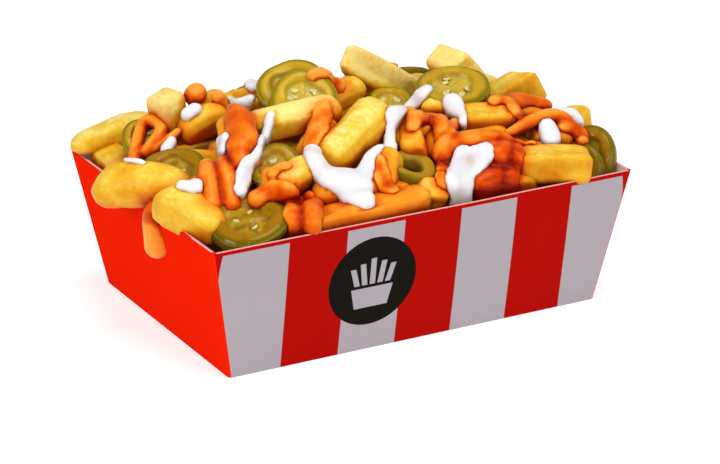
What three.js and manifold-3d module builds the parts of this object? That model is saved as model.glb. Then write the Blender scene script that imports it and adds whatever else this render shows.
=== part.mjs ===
// Loaded fries: thick straight-cut fries heaped above the rim of a folded paperboard
// tray, with slices of pickled jalapeno lying on them.
// Millimetres and degrees. The origin is the middle of the tray's underside, +Z is up,
// +X runs along the tray's long side and -Y is its front.

import * as THREE from 'three';
import { mergeVertices } from 'three/addons/utils/BufferGeometryUtils.js';
import Module from 'manifold-3d';

const wasm = await Module();
wasm.setup();

// The tray flares from its base to its rim. Its short ends are folded over inwards,
// so they are two boards thick down to the flap's edge.
const BASE_LENGTH = 146;
const BASE_WIDTH = 98;
const RIM_LENGTH = 165;
const RIM_WIDTH = 114;
const TRAY_HEIGHT = 50;
const BOARD = 0.8;
const FLAP_DEPTH = 13;
const TRAY_CORNER_RADIUS = 3;
const SMALLEST_CORNER_RADIUS = 1;
const CORNER_SEGMENTS = 4;

// Clearance between the pieces that touch.
const GAP = 0.3;

// How far a cutting block runs past what it cuts, and into the block below it.
const CUT_OVERSHOOT = 1;
const CUT_OVERLAP = 0.01;

// Points closer than this are one point.
const WELD_DISTANCE = 1e-4;

// The bed that the upper fries lie on: a mound that is flat along X and falls away
// towards the front and back.
const BED_EDGE_HEIGHT = 40;
const BED_RISE = 24;
const BED_HALF_LENGTH = 84;
const BED_HALF_WIDTH = 59;
const BED_CELLS_X = 8;
const BED_CELLS_Y = 6;
const BED_LENGTH_POWER = 6;
const BED_WIDTH_POWER = 1.5;

// How far the heap's surface may move when small facets are merged.
const HEAP_TOLERANCE = 0.12;

// Fries
const FRY_CHAMFER = 0.22;
const FRY_END_SCALE = 0.84;
const FRY_STEPS = 3;

// Slices
const SLICE_SEGMENTS = 18;
const SLICE_EDGE_ROUND = 0.3;
const SLICE_LOBES = 3;
const SLICE_LOBE_DEPTH = 0.04;

// Each fry: one end's x, y, z, the other end's x, y, z, its thickness, its roll about
// its own length, and how far its middle bows up.
const FRIES = [
  // left end, from the back corner to the front corner
  [-52, 44, 57, -85, 50.5, 54, 14, 5, 1],
  [-74.5, 49, 50, -74, 14, 51, 11, 10, 0],
  [-73.5, 14, 46, -73, -16, 46, 10, 15, 0],
  [-76, 28, 50, -68, 2, 54, 11, 10, 0],
  [-94, 10, 53, -70, -17, 57, 14.5, 25, 2],
  [-82.5, -18, 56.5, -71.5, -41, 49.5, 14, 10, 1],
  [-72, -12, 54, -56, -32, 55, 12, 10, 0],
  [-58, -36, 44, -42, -40, 50, 10, 20, 0],
  [-51, -30, 58, -40, -33, 60.5, 11, 20, 0],
  [-64, 8, 57, -46, -12, 61, 10, 20, 0],
  [-56, 26, 58, -60, 25, 77, 9.8, 0, 0],
  [-58, 18, 63, -40, 16, 70, 10.5, 30, 1],
  [-50, 24, 69, -32, 27, 68, 10, 20, 0],
  [-44, 4, 71, -52, -24, 62, 12, 20, 0],
  // middle
  [-47, -36, 60, -30, -30, 63, 11, 20, 0],
  [-45, -3, 69, -9, -10, 73, 11.5, 15, 1],
  [-14, -12, 71, -29, -20, 61, 9, 20, 0],
  [-24, 22, 70, -6, 14, 70, 9, 0, 0],
  [-25, -29, 61, 7, -11, 71, 15.5, 20, 1],
  [-8, 8, 69, 12, 14, 71, 11, 20, 0],
  [-3, -34, 66, -11, -44, 51, 11, 15, 0],
  [20, 18, 66, 25, 24, 72, 9, 30, 0],
  [16, -12, 68, 8, -34, 61, 10, 20, 0],
  // front rim
  [-46, -49, 50, 4, -49, 51, 10.5, 10, 0],
  [0, -47, 53, 12, -48, 51, 9.5, 30, 0],
  [14, -44, 51, 46, -47, 49, 12, 10, 0],
  [24, -36, 60, 48, -44, 55, 12, 20, 0],
  [42, -45, 55.5, 66.5, -54, 54, 11.5, 4, 0],
  // right end
  [33, -21, 64.5, 52, -26, 63.5, 12, 8, 0],
  [52, -18, 65, 72, -22, 59, 10, 20, 0],
  [70, -24, 60, 76, -38, 53, 10, 20, 0],
  [80, -24, 64, 84, -26, 51, 9, 20, 0],
  [58, 4, 57, 75, 0, 66, 13, 0, 0],
  [74, -6, 56, 78, 16, 54, 12, 0, 0],
  // standing up out of the heap
  [42, 18, 58, 8.5, 20, 81, 12.5, 10, 0],
  [68, 17, 50, 49.5, 20, 75, 12, 20, 0],
  [44, 10, 60, 66, 2, 60, 11, 10, 0],
  // back slope
  [-50, 48, 52, -24, 48.5, 51, 12, 10, 0],
  [-40, 40, 58, -12, 46, 55, 12, 10, 1],
  [-34, 30, 66, -14, 36, 63, 11, 40, 0],
  [-26, 20, 64, -2, 26, 68, 11, 0, 0],
  [-6, 30, 67, 12, 42, 59, 12, 20, 0],
  [0, 48.5, 51, 34, 48, 52, 12, 10, 1],
  [20, 38, 61, 44, 32, 60, 12, 30, 0],
  [28, 16, 67, 48, 26, 61, 10, 0, 0],
  [44, 46, 53, 73, 44, 52, 13, 20, 1],
  [52, 24, 60, 68, 34, 55, 12, 20, 0],
  [69, 18, 55, 75.5, 39, 54, 12, 20, 1],
];

// Each slice: its centre's x, y, z, the compass angle and the height angle that its
// face looks towards, its diameter, its thickness and the diameter of its hole.
const SLICES = [
  [-15.5, 13, 75, -122, 54, 24, 5, 0],
  [-16.8, 2.6, 74.6, -120, 56, 23, 4, 0],
  [-68, 24, 62, -120, 60, 17, 4, 0],
  [-71, -5, 59, -118, 62, 22, 5, 0],
  [-43, -26, 63, -118, 62, 19, 4, 0],
  [-61.5, -41.6, 52.2, -120, 70, 27, 5, 0],
  [39.5, -4, 71, -112, 75, 25.5, 5, 0],
  [19, 4, 66, -110, 75, 18, 4, 0],
  [3, -38, 58, -60, 72, 19, 6, 8],
  [66.6, -45.5, 49.6, -150, 35, 19, 3.6, 0],
  [73, -41.5, 51, -145, 35, 22.5, 5, 0],
  [-24, 46, 61, 90, 55, 22, 5, 0],
  [48, 42, 59, 70, 60, 24, 5, 0],
];

const COLOURS = {
  board: { color: 0xd8200e, roughness: 0.45, metalness: 0 },
  potato: { color: 0xeab83c, roughness: 0.5, metalness: 0 },
  pepper: { color: 0x9a9416, roughness: 0.3, metalness: 0 },
};

function solidOf(geometry) {
  const shell = geometry.clone();
  shell.deleteAttribute('normal');
  shell.deleteAttribute('uv');
  const merged = mergeVertices(shell, WELD_DISTANCE);
  const vertProperties = Float32Array.from(merged.attributes.position.array);
  const triVerts = Uint32Array.from(merged.index.array);
  return new wasm.Manifold(new wasm.Mesh({ numProp: 3, vertProperties, triVerts }));
}

function geometryOf(solid) {
  const mesh = solid.getMesh();
  const geometry = new THREE.BufferGeometry();
  geometry.setAttribute('position', new THREE.BufferAttribute(mesh.vertProperties, 3));
  geometry.setIndex(new THREE.BufferAttribute(mesh.triVerts, 1));
  geometry.computeVertexNormals();
  return geometry;
}

function largestBody(solid) {
  const bodies = solid.decompose();
  return bodies.reduce((best, body) => (body.volume() > best.volume() ? body : best));
}

// Moves each vertex of a geometry to where `place` puts it.
function reshape(geometry, place) {
  const position = geometry.attributes.position;
  const point = new THREE.Vector3();
  for (let i = 0; i < position.count; i += 1) {
    point.fromBufferAttribute(position, i);
    place(point);
    position.setXYZ(i, point.x, point.y, point.z);
  }
  return geometry;
}

// The tray's outer half length and half width at a height.
function trayHalfLength(z) {
  return THREE.MathUtils.lerp(BASE_LENGTH, RIM_LENGTH, z / TRAY_HEIGHT) / 2;
}

function trayHalfWidth(z) {
  return THREE.MathUtils.lerp(BASE_WIDTH, RIM_WIDTH, z / TRAY_HEIGHT) / 2;
}

function roundedRectangle(halfLength, halfWidth, radius) {
  const shape = new THREE.Shape();
  shape.absarc(halfLength - radius, halfWidth - radius, radius, 0, Math.PI / 2);
  shape.absarc(radius - halfLength, halfWidth - radius, radius, Math.PI / 2, Math.PI);
  shape.absarc(radius - halfLength, radius - halfWidth, radius, Math.PI, 1.5 * Math.PI);
  shape.absarc(halfLength - radius, radius - halfWidth, radius, 1.5 * Math.PI, 2 * Math.PI);
  return shape;
}

// A flared block with the tray's slope from one height to another, its ends and sides
// set in from the tray's outside.
function trayBlock(from, to, endInset, sideInset) {
  const radius = Math.max(TRAY_CORNER_RADIUS - sideInset, SMALLEST_CORNER_RADIUS);
  const halfLength = trayHalfLength(from) - endInset;
  const halfWidth = trayHalfWidth(from) - sideInset;
  const shape = roundedRectangle(halfLength, halfWidth, radius);
  const options = { depth: to - from, bevelEnabled: false, curveSegments: CORNER_SEGMENTS };
  const block = new THREE.ExtrudeGeometry(shape, options);
  return reshape(block, (point) => {
    point.x *= (trayHalfLength(from + point.z) - endInset) / halfLength;
    point.y *= (trayHalfWidth(from + point.z) - sideInset) / halfWidth;
    point.z += from;
  });
}

// The tray, or with a growth the space that its neighbours keep clear of.
function traySolid(growth) {
  const outside = solidOf(trayBlock(0, TRAY_HEIGHT + growth, -growth, -growth));
  const single = BOARD + growth;
  const double = 2 * BOARD + growth;
  const flapEdge = TRAY_HEIGHT - FLAP_DEPTH;
  const top = TRAY_HEIGHT + growth + CUT_OVERSHOOT;
  const lower = solidOf(trayBlock(single, flapEdge - growth, single, single));
  const upperBottom = flapEdge - growth - CUT_OVERLAP;
  const upper = solidOf(trayBlock(upperBottom, top, double, single));
  return outside.subtract(lower.add(upper));
}

// The height of the bed's surface at x, y.
function bedHeight(x, y) {
  const alongLength = 1 - Math.min(Math.abs(x) / BED_HALF_LENGTH, 1) ** BED_LENGTH_POWER;
  const alongWidth = 1 - Math.min(Math.abs(y) / BED_HALF_WIDTH, 1) ** BED_WIDTH_POWER;
  return BED_EDGE_HEIGHT + BED_RISE * alongLength * alongWidth;
}

// The bed fills the tray to its walls, less the clearance, under the mound's surface.
function bedSolid() {
  const inset = 2 * BOARD + GAP;
  const bottom = BOARD + GAP;
  const box = new THREE.BoxGeometry(2, 2, 1, BED_CELLS_X, BED_CELLS_Y, 1);
  return solidOf(reshape(box, (point) => {
    const isTop = point.z > 0;
    const edge = isTop ? BED_EDGE_HEIGHT : bottom;
    point.x *= trayHalfLength(edge) - inset;
    point.y *= trayHalfWidth(edge) - inset;
    point.z = isTop ? bedHeight(point.x, point.y) : bottom;
  }));
}

// A straight-cut fry: a square stick with chamfered edges and slightly thinner ends.
function frySolid([x1, y1, z1, x2, y2, z2, thickness, roll, bow]) {
  const start = new THREE.Vector3(x1, y1, z1);
  const end = new THREE.Vector3(x2, y2, z2);
  const length = start.distanceTo(end);
  const half = thickness / 2;
  const flat = half * (1 - 2 * FRY_CHAMFER);
  const section = new THREE.Shape([
    new THREE.Vector2(half, -flat),
    new THREE.Vector2(half, flat),
    new THREE.Vector2(flat, half),
    new THREE.Vector2(-flat, half),
    new THREE.Vector2(-half, flat),
    new THREE.Vector2(-half, -flat),
    new THREE.Vector2(-flat, -half),
    new THREE.Vector2(flat, -half),
  ]);
  const options = { depth: length, bevelEnabled: false, steps: FRY_STEPS };
  const stick = new THREE.ExtrudeGeometry(section, options);
  const along = end.clone().sub(start).normalize();
  const side = new THREE.Vector3().crossVectors(new THREE.Vector3(0, 0, 1), along).normalize();
  const up = new THREE.Vector3().crossVectors(along, side);
  reshape(stick, (point) => {
    const isEnd = point.z < WELD_DISTANCE || point.z > length - WELD_DISTANCE;
    const scale = isEnd ? FRY_END_SCALE : 1;
    point.x *= scale;
    point.y *= scale;
  });
  stick.rotateZ(THREE.MathUtils.degToRad(roll));
  stick.applyMatrix4(new THREE.Matrix4().makeBasis(side, up, along));
  stick.translate(x1, y1, z1);
  reshape(stick, (point) => {
    const t = point.clone().sub(start).dot(along) / length;
    point.z += bow * 4 * t * (1 - t);
  });
  return solidOf(stick);
}

// A slice of pepper: a round-edged disc, or a ring if it has a hole, with the slight
// lobes of a pepper's outline.
function sliceGeometry([x, y, z, azimuth, elevation, diameter, thickness, hole], growth) {
  const radius = diameter / 2 + growth;
  const half = thickness / 2 + growth;
  const round = thickness * SLICE_EDGE_ROUND;
  const innerRadius = Math.max(hole / 2 - growth, 0);
  const profile = [
    new THREE.Vector2(innerRadius, -half),
    new THREE.Vector2(radius - round, -half),
    new THREE.Vector2(radius, round - half),
    new THREE.Vector2(radius, half - round),
    new THREE.Vector2(radius - round, half),
    new THREE.Vector2(innerRadius, half),
  ];
  if (innerRadius > 0) {
    profile.push(new THREE.Vector2(innerRadius, -half));
  }
  const slice = new THREE.LatheGeometry(profile, SLICE_SEGMENTS);
  reshape(slice, (point) => {
    const angle = Math.atan2(point.z, point.x);
    const lobe = 1 + SLICE_LOBE_DEPTH * Math.cos(SLICE_LOBES * angle);
    point.x *= lobe;
    point.z *= lobe;
  });
  slice.rotateX(Math.PI / 2);
  slice.rotateY(THREE.MathUtils.degToRad(90 - elevation));
  slice.rotateZ(THREE.MathUtils.degToRad(azimuth));
  slice.translate(x, y, z);
  return slice;
}

function heapGeometry() {
  let heap = bedSolid();
  for (const fry of FRIES) {
    heap = heap.add(frySolid(fry));
  }
  heap = heap.subtract(traySolid(GAP));
  for (const slice of SLICES) {
    heap = heap.subtract(solidOf(sliceGeometry(slice, GAP)));
  }
  return geometryOf(largestBody(heap.simplify(HEAP_TOLERANCE)));
}

function addMesh(group, name, geometry, look) {
  const mesh = new THREE.Mesh(geometry, new THREE.MeshStandardMaterial(look));
  mesh.name = name;
  group.add(mesh);
}

const loadedFries = new THREE.Group();
addMesh(loadedFries, 'tray', geometryOf(traySolid(0)), COLOURS.board);
addMesh(loadedFries, 'fries_heap', heapGeometry(), COLOURS.potato);
SLICES.forEach((slice, index) => {
  const name = `jalapeno_${String(index + 1).padStart(2, '0')}`;
  addMesh(loadedFries, name, geometryOf(solidOf(sliceGeometry(slice, 0))), COLOURS.pepper);
});

export default loadedFries;
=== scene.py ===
# Loaded fries in a folded paperboard tray: thick straight-cut fries heaped above the
# rim, draped with an orange cheese and chilli sauce and with soured cream, and topped
# with slices of pickled jalapeno. Sizes are in millimetres and turned to metres by MM.
import math
import random
from functools import partial

import bmesh
import bpy
import numpy as np
from mathutils import Matrix, Vector
from mathutils.bvhtree import BVHTree


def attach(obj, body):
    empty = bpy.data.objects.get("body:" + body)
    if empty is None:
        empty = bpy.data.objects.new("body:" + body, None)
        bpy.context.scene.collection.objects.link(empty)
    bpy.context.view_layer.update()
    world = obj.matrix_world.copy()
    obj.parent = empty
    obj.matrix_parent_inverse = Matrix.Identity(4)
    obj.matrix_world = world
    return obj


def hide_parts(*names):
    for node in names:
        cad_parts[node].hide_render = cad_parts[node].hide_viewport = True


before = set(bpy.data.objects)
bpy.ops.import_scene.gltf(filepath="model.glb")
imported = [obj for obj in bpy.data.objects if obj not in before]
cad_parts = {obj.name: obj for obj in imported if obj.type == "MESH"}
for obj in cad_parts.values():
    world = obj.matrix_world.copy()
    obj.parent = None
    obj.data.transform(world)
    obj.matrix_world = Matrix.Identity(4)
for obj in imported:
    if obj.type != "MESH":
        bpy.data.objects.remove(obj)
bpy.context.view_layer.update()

MM = 0.001
# Keeps a division away from zero.
TINY = 1e-9

# ---------------------------------------------------------------- driving sizes, mm
# The tray: half its length and width at the base and at the rim, its height, its board,
# the flaps that fold in over its short ends, its corners, and how far its walls bow out.
BASE_HALF = (73.0, 49.0)
RIM_HALF = (82.5, 57.0)
TRAY_HEIGHT = 50.0
BOARD = 0.8
FLAP_DEPTH = 12.5
FLAP_NARROWING = 0.955
FOLD_RADIUS = 0.86
CORNER_RADIUS = 1.6
BOW = 0.9
# Where the walls are cut across, so that they can bow: places along z, x and y.
WALL_CUTS = {
    2: (0.8, 5, 12, 20, 28, 36, 43, 47, 49),
    0: (-60, -40, -20, 0, 20, 40, 60),
    1: (-40, -20, 0, 20, 40),
}

# The print: the reds of the end walls and of the stripes, each with the second shade of
# its mottle, the badge's middle and radius, the stripes, and the red line at the rim.
# The stripes' red is the end walls' red painted darker, as painted shade on the long walls.
RED, RED_LOW = "#ec2408", "#e61e06"
STRIPE_RED, STRIPE_LOW = "#b20801", "#ac0601"
BADGE_MIDDLE = (-20.2, 27.0)
BADGE_RADIUS = 17.0
STRIPE_WIDTH = 22.2
STRIPE_COUNT = 5
FIRST_STRIPE = -53.5
RIM_LINE = 48.5
# The end walls' red goes CORNER_RED round the corners, and near the rim, from
# WEDGE_FOOT up, it widens by up to WEDGE_WIDTH.
CORNER_RED = 0.5
WEDGE_FOOT = 33.0
WEDGE_WIDTH = 4.0
# The badge's drawing: a fan of bars above a cup.
BAR_GAP, BAR_LEAN, BAR_HALF = 3.1, 0.14, 1.05
BAR_TOP, BAR_STEP, BAR_FOOT = 9.0, 1.6, -1.0
CUP_HALF, CUP_FLARE, CUP_TOP, CUP_FOOT = 8.6, 0.22, -2.2, -10.0

# The mound that the fries' lower layers make: its height at the edge and in the middle,
# its half length and half width, and how flat its top is along each.
MOUND_EDGE = 43.0
MOUND_RISE = 24.0
MOUND_HALF = (84.0, 59.0)
MOUND_FLATNESS = (6, 1.5)

# The core under the mound: its half length and half width, how far below the mound it
# lies, its floor, how much narrower its foot is, and its lumps (seed, wavelength, rise).
CORE_HALF = (78, 53)
CORE_DROP = 15.0
CORE_FLOOR = 2.0
CORE_NARROWING = 0.12
CORE_LUMPS = ((61, 22.0, 2.2), (62, 11.0, 1.2))

# The fries drawn at random below the surface: how far from the tray's middle their
# middles may lie, how far their ends, half their length, and their thickness.
FILLER_SPREAD = (74, 50)
FILLER_LIMIT = (72, 46)
FILLER_HALF_LENGTH = (13, 20)
FILLER_THICKNESS = (10, 13)

# The blank that all fries start from, as shares of its thickness: how far its edges are
# rounded, where its faces are cut along it, and how far out from its middle it is cut.
BLANK_ROUNDING = 0.24
BLANK_FACE_CUT = 0.13
BLANK_CUT_REACH = 0.75
# The radius of a fry that is quite round, and how far its ends close in: a cut end's
# share, and what a domed end adds to it.
ROUND_RADIUS = 0.53
CUT_CLOSING, DOME_CLOSING = 0.25, 0.6
# How far the flat faces sink between their edges.
FACE_SINK = 0.25

# A fry is painted paler, as light, when it reaches above this height: over how many
# millimetres it turns pale, and by how much.
PALE_ABOVE = 70.0
PALE_REACH = 5.0
PALE_SHIFT = 1.1

# The painted shade on the food. A point is in a gap when other faces lie within
# CREVICE_REACH of it, and there its colour is painted deeper as shade. The rays that feel
# for them start SKIN_GAP outside the surface and spread by RAY_SPREAD about its normal. A
# face turned to PAINT_LIGHT has no painted shade, and one turned away from it has the most.
CREVICE_REACH = 12.0
SKIN_GAP = 0.4
RAY_SPREAD = 0.98
PAINT_LIGHT = (-0.45, -0.1, 0.89)
# RIDGE_GAIN turns millimetres of bulge into the ridge value, from which the sauce is
# painted paler on its ridges as a highlight and deeper in its grooves as shade. The
# bulge is measured against the shape after RIDGE_PASSES of smoothing.
RIDGE_PASSES = 12
RIDGE_GAIN = 0.9
# The sauce's stain fades over STAIN_WIDTH, as steeply as STAIN_FALL says, and ends at
# STAIN_REACH. A glaze has GLAZE_STRENGTH of a full stain.
STAIN_REACH = 12.0
STAIN_WIDTH = 4.2
STAIN_FALL = 1.2
GLAZE_STRENGTH = 0.95

# Each fry: one end's x, y, z, the other end's x, y, z, its thickness, its roll about
# its own length in degrees, how far its middle bows up, and how much its second end
# narrows (1 comes to an edge, and below 0 it thickens). The fries that are plain to see
# also have how round their cross-section is (1 is round, and below 0 the edges stand
# out), how flat their ends are cut (0 to 1), and the ends' slant.
FRIES = [
    # left end, from the back corner to the front corner
    (-52, 44, 57, -85, 50.5, 54, 14, 5, 1, 0.5, 0.5, 0.1, 0.2),
    (-74.5, 49, 50, -74, 14, 51, 11, 10, 0, 0.1),
    (-73.5, 14, 46, -73, -16, 46, 10, 15, 0, 0.1),
    (-76, 28, 50, -68, 2, 54, 11, 10, 0, 0.1),
    (-94, 10, 53, -70, -17, 57, 14.5, 25, 2, 0.5, 0.55, 0.0, 0.2),
    (-82.5, -18, 56.5, -71.5, -41, 49.5, 14, 10, 1, 0.3, 0.35, 0.6, 0.0),
    (-72, -12, 54, -56, -32, 55, 12, 10, 0, 0.1),
    (-58, -36, 44, -42, -40, 50, 10, 20, 0, 0.1),
    (-51, -30, 58, -40, -33, 60.5, 11, 20, 0, 0.2),
    (-64, 8, 57, -46, -12, 61, 10, 20, 0, 0.1),
    (-56, 26, 58, -60, 25, 77, 9.8, 0, 0, -0.15, -0.3, 1.0, 0.1),
    (-58, 18, 63, -40, 16, 70, 10.5, 30, 1, 0.15, 0.7, 0.1, 0.0),
    (-50, 24, 69, -32, 27, 68, 10, 20, 0, 0.1),
    (-44, 4, 71, -52, -24, 62, 12, 20, 0, 0.1),
    # middle
    (-47, -36, 60, -30, -30, 63, 11, 20, 0, 0.1, 0.5, 0.2, 0.0),
    (-45, -3, 69, -9, -10, 73, 11.5, 15, 1, 0.05, 0.6, 0.1, 0.1),
    (-14, -12, 71, -29, -20, 61, 9, 20, 0, 0.1, 0.6, 0.2, 0.0),
    (-24, 22, 70, -6, 14, 70, 9, 0, 0, 0.1),
    (-25, -29, 61, 7, -11, 71, 15.5, 20, 1, 0.0, 0.7, 0.1, 0.0),
    (-8, 8, 69, 12, 14, 71, 11, 20, 0, 0.1, 0.6, 0.2, 0.0),
    (-3, -34, 66, -11, -44, 51, 11, 15, 0, 0.1, 0.3, 0.7, 0.2),
    (20, 18, 66, 25, 24, 72, 9, 30, 0, 0.3, 0.2, 0.6, 0.4),
    (16, -12, 68, 8, -34, 61, 10, 20, 0, 0.1),
    (4, -24, 63, 22, -18, 65, 9, 20, 0, 0.2),
    (-66, -24, 55, -56, -6, 57, 12, 20, 0, 0.1),
    (-36, -40, 56, -9, -42, 56, 11, 20, 0, 0.1),
    (26, -14, 64, 18, -36, 58, 11, 10, 0, 0.1),
    (24, -30, 59, 46, -33, 60, 10.5, 20, 0, 0.1),
    # front rim
    (-46, -49, 50, 4, -49, 51, 10.5, 10, 0, 0.0, 0.4, 0.4, 0.0),
    (0, -47, 53, 12, -48, 51, 9.5, 30, 0, 0.1, 0.2, 0.8, 0.2),
    (-24, -42, 55, 0, -44, 54, 8, 10, 0, 0.1),
    (14, -44, 51, 46, -47, 49, 12, 10, 0, 0.1),
    (24, -36, 60, 48, -44, 55, 12, 20, 0, 0.1),
    (42, -45, 55.5, 66.5, -54, 54, 11.5, 4, 0, 0.0, -0.25, 1.0, 0.0),
    # right end
    (25, -8, 68, 38, -12, 66, 8, 20, 0, 0.2),
    (33, -21, 64.5, 52, -26, 63.5, 12, 8, 0, 0.05, -0.2, 1.0, 0.0),
    (52, -18, 65, 72, -22, 59, 10, 20, 0, 0.2),
    (54, -34, 60, 70, -36, 57, 9, 20, 0, 0.2),
    (70, -24, 60, 76, -38, 53, 10, 20, 0, 0.1),
    (79, -24, 64, 80.5, -26, 52, 9, 20, 0, 0.1, 0.2, 0.9, 0.2),
    (58, 4, 57, 75, 0, 66, 13, 0, 0, -0.1, -0.3, 1.0, -0.6),
    (74, -6, 56, 78, 16, 54, 12, 0, 0, 0.1),
    # standing up out of the heap
    (42, 18, 58, 8.5, 20, 81, 12.5, 10, 0, 0.2, -0.3, 1.0, 0.7),
    (68, 17, 50, 49.5, 20, 75, 12, 20, 0, 0.1, -0.3, 1.0, -0.5),
    (44, 10, 60, 66, 2, 60, 11, 10, 0, 0.1),
    # back slope
    (-50, 48, 52, -24, 48.5, 51, 12, 10, 0, 0.1),
    (-40, 40, 58, -12, 46, 55, 12, 10, 1, 0.1),
    (-34, 30, 66, -14, 36, 63, 11, 40, 0, 0.1),
    (-26, 20, 64, -2, 26, 68, 11, 0, 0, 0.1),
    (-6, 30, 67, 12, 42, 59, 12, 20, 0, 0.1),
    (0, 48.5, 51, 34, 48, 52, 12, 10, 1, 0.1),
    (20, 38, 61, 44, 32, 60, 12, 30, 0, 0.1),
    (28, 16, 67, 48, 26, 61, 10, 0, 0, 0.1),
    (44, 46, 53, 73, 44, 52, 13, 20, 1, 0.1),
    (52, 24, 60, 68, 34, 55, 12, 20, 0, 0.1),
    (69, 18, 55, 75.5, 39, 54, 12, 20, 1, 0.1),
]

# Ribbons of sauce: how thick each is, then x, y, z and width at each point of its path.
ORANGE_RIBBONS = [
    # left middle: a broad fold, two lobes below it, and a ridge to their right
    (4.6, [(-44, 2, 74, 6), (-46, -6, 74, 10), (-49, -13, 72, 12), (-52, -18, 69, 11), (-54, -22, 65, 7)]),
    (3.0, [(-56, -38, 60, 7), (-53, -38, 61, 8), (-48, -39, 61, 8), (-44, -40, 59, 6)]),
    (2.2, [(-48, -34, 65, 4), (-45, -33, 66, 4), (-42, -33, 65, 4)]),
    (3.4, [(-44, -43, 57, 6), (-47, -47, 56, 7), (-49, -51, 53, 7), (-50, -53, 50, 6)]),
    (3.6, [(-38, -42, 57, 6), (-40, -47, 56, 7.5), (-42, -51, 53, 7.5), (-43, -53, 50, 6.5)]),
    # between the two long fries, and along the top
    (2.6, [(-16, -11, 74, 5), (-18, -13, 71.5, 8), (-21, -16, 67, 9), (-25, -19, 63, 7)]),
    (3.0, [(-9, 10, 76, 5), (-5, 10, 76, 6), (0, 9, 75, 7)]),
    # on the stub behind the front rim's long fry
    (2.0, [(-9, -38, 63, 5), (-10, -42, 59.5, 7), (-11, -45, 56, 8), (-9, -47, 54, 7)]),
    # middle right: a lobe running down to the left of the white ribbon
    (3.2, [(14, -22, 69, 5), (17, -22, 70, 6), (21, -22, 69, 6.5), (23, -25, 66, 6.5), (22, -28, 63, 7)]),
    (3.4, [(24, -30, 63, 6), (20, -33, 61, 7), (17, -36, 59, 7)]),
    (2.6, [(14, -22, 70, 6), (11, -26, 68, 5)]),
    (2.8, [(17, -38, 58, 7), (14, -42, 55, 7), (12, -46, 51, 6)]),
    (2.6, [(29, -24, 66, 5), (25, -27, 64, 5), (20, -30, 62, 6)]),
    # an arch over the white ribbon and the flow to its right
    (3.4, [
        (22, -34, 60, 6), (27, -35, 62, 8), (33, -37, 63, 8), (38, -38, 63, 7), (41, -39, 61, 6),
        (40, -43, 59, 5),
    ]),
    (3.2, [(38, -43, 60, 9), (32, -47, 56, 12), (27, -51, 51, 12)]),
    (2.8, [(42, -44, 59, 8), (37, -49, 54, 10), (33, -53, 49, 9)]),
    (4.6, [(35, -41, 60, 5), (32, -47, 56, 5), (28, -52, 51, 5)]),
    (4.4, [(42, -43, 59, 4), (39, -48, 55, 4.5), (35, -53, 50, 4.5)]),
    (2.4, [(40, -39, 62, 4), (46, -41, 61, 4), (53, -42, 60, 4)]),
    # the back slope
    (3.0, [(-38, 38, 64, 6), (-33, 42, 62, 8), (-30, 47, 60, 8), (-28, 52, 56, 7)]),
    (2.6, [(2, 36, 69, 5), (6, 40, 66, 7), (5, 46, 60, 8), (8, 52, 56, 6)]),
    (2.6, [(34, 38, 65, 5), (38, 42, 62, 8), (46, 46, 60, 7)]),
    (2.4, [(62, 32, 59, 5), (67, 36, 58, 7), (72, 41, 56, 6)]),
    # right end: lumps behind and below the hooked rope
    (3.0, [(55, -20, 66, 6), (60, -18, 67, 8), (66, -18, 65, 7), (70, -18, 63, 6)]),
    (2.6, [(47, -21, 70, 5), (50, -21, 71, 6), (52, -24, 70, 6), (51, -29, 67, 5)]),
    (3.2, [(66, -36, 61, 5), (69, -36, 61.5, 7), (71.5, -39, 60, 6), (71, -42, 57, 5)]),
]
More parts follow.
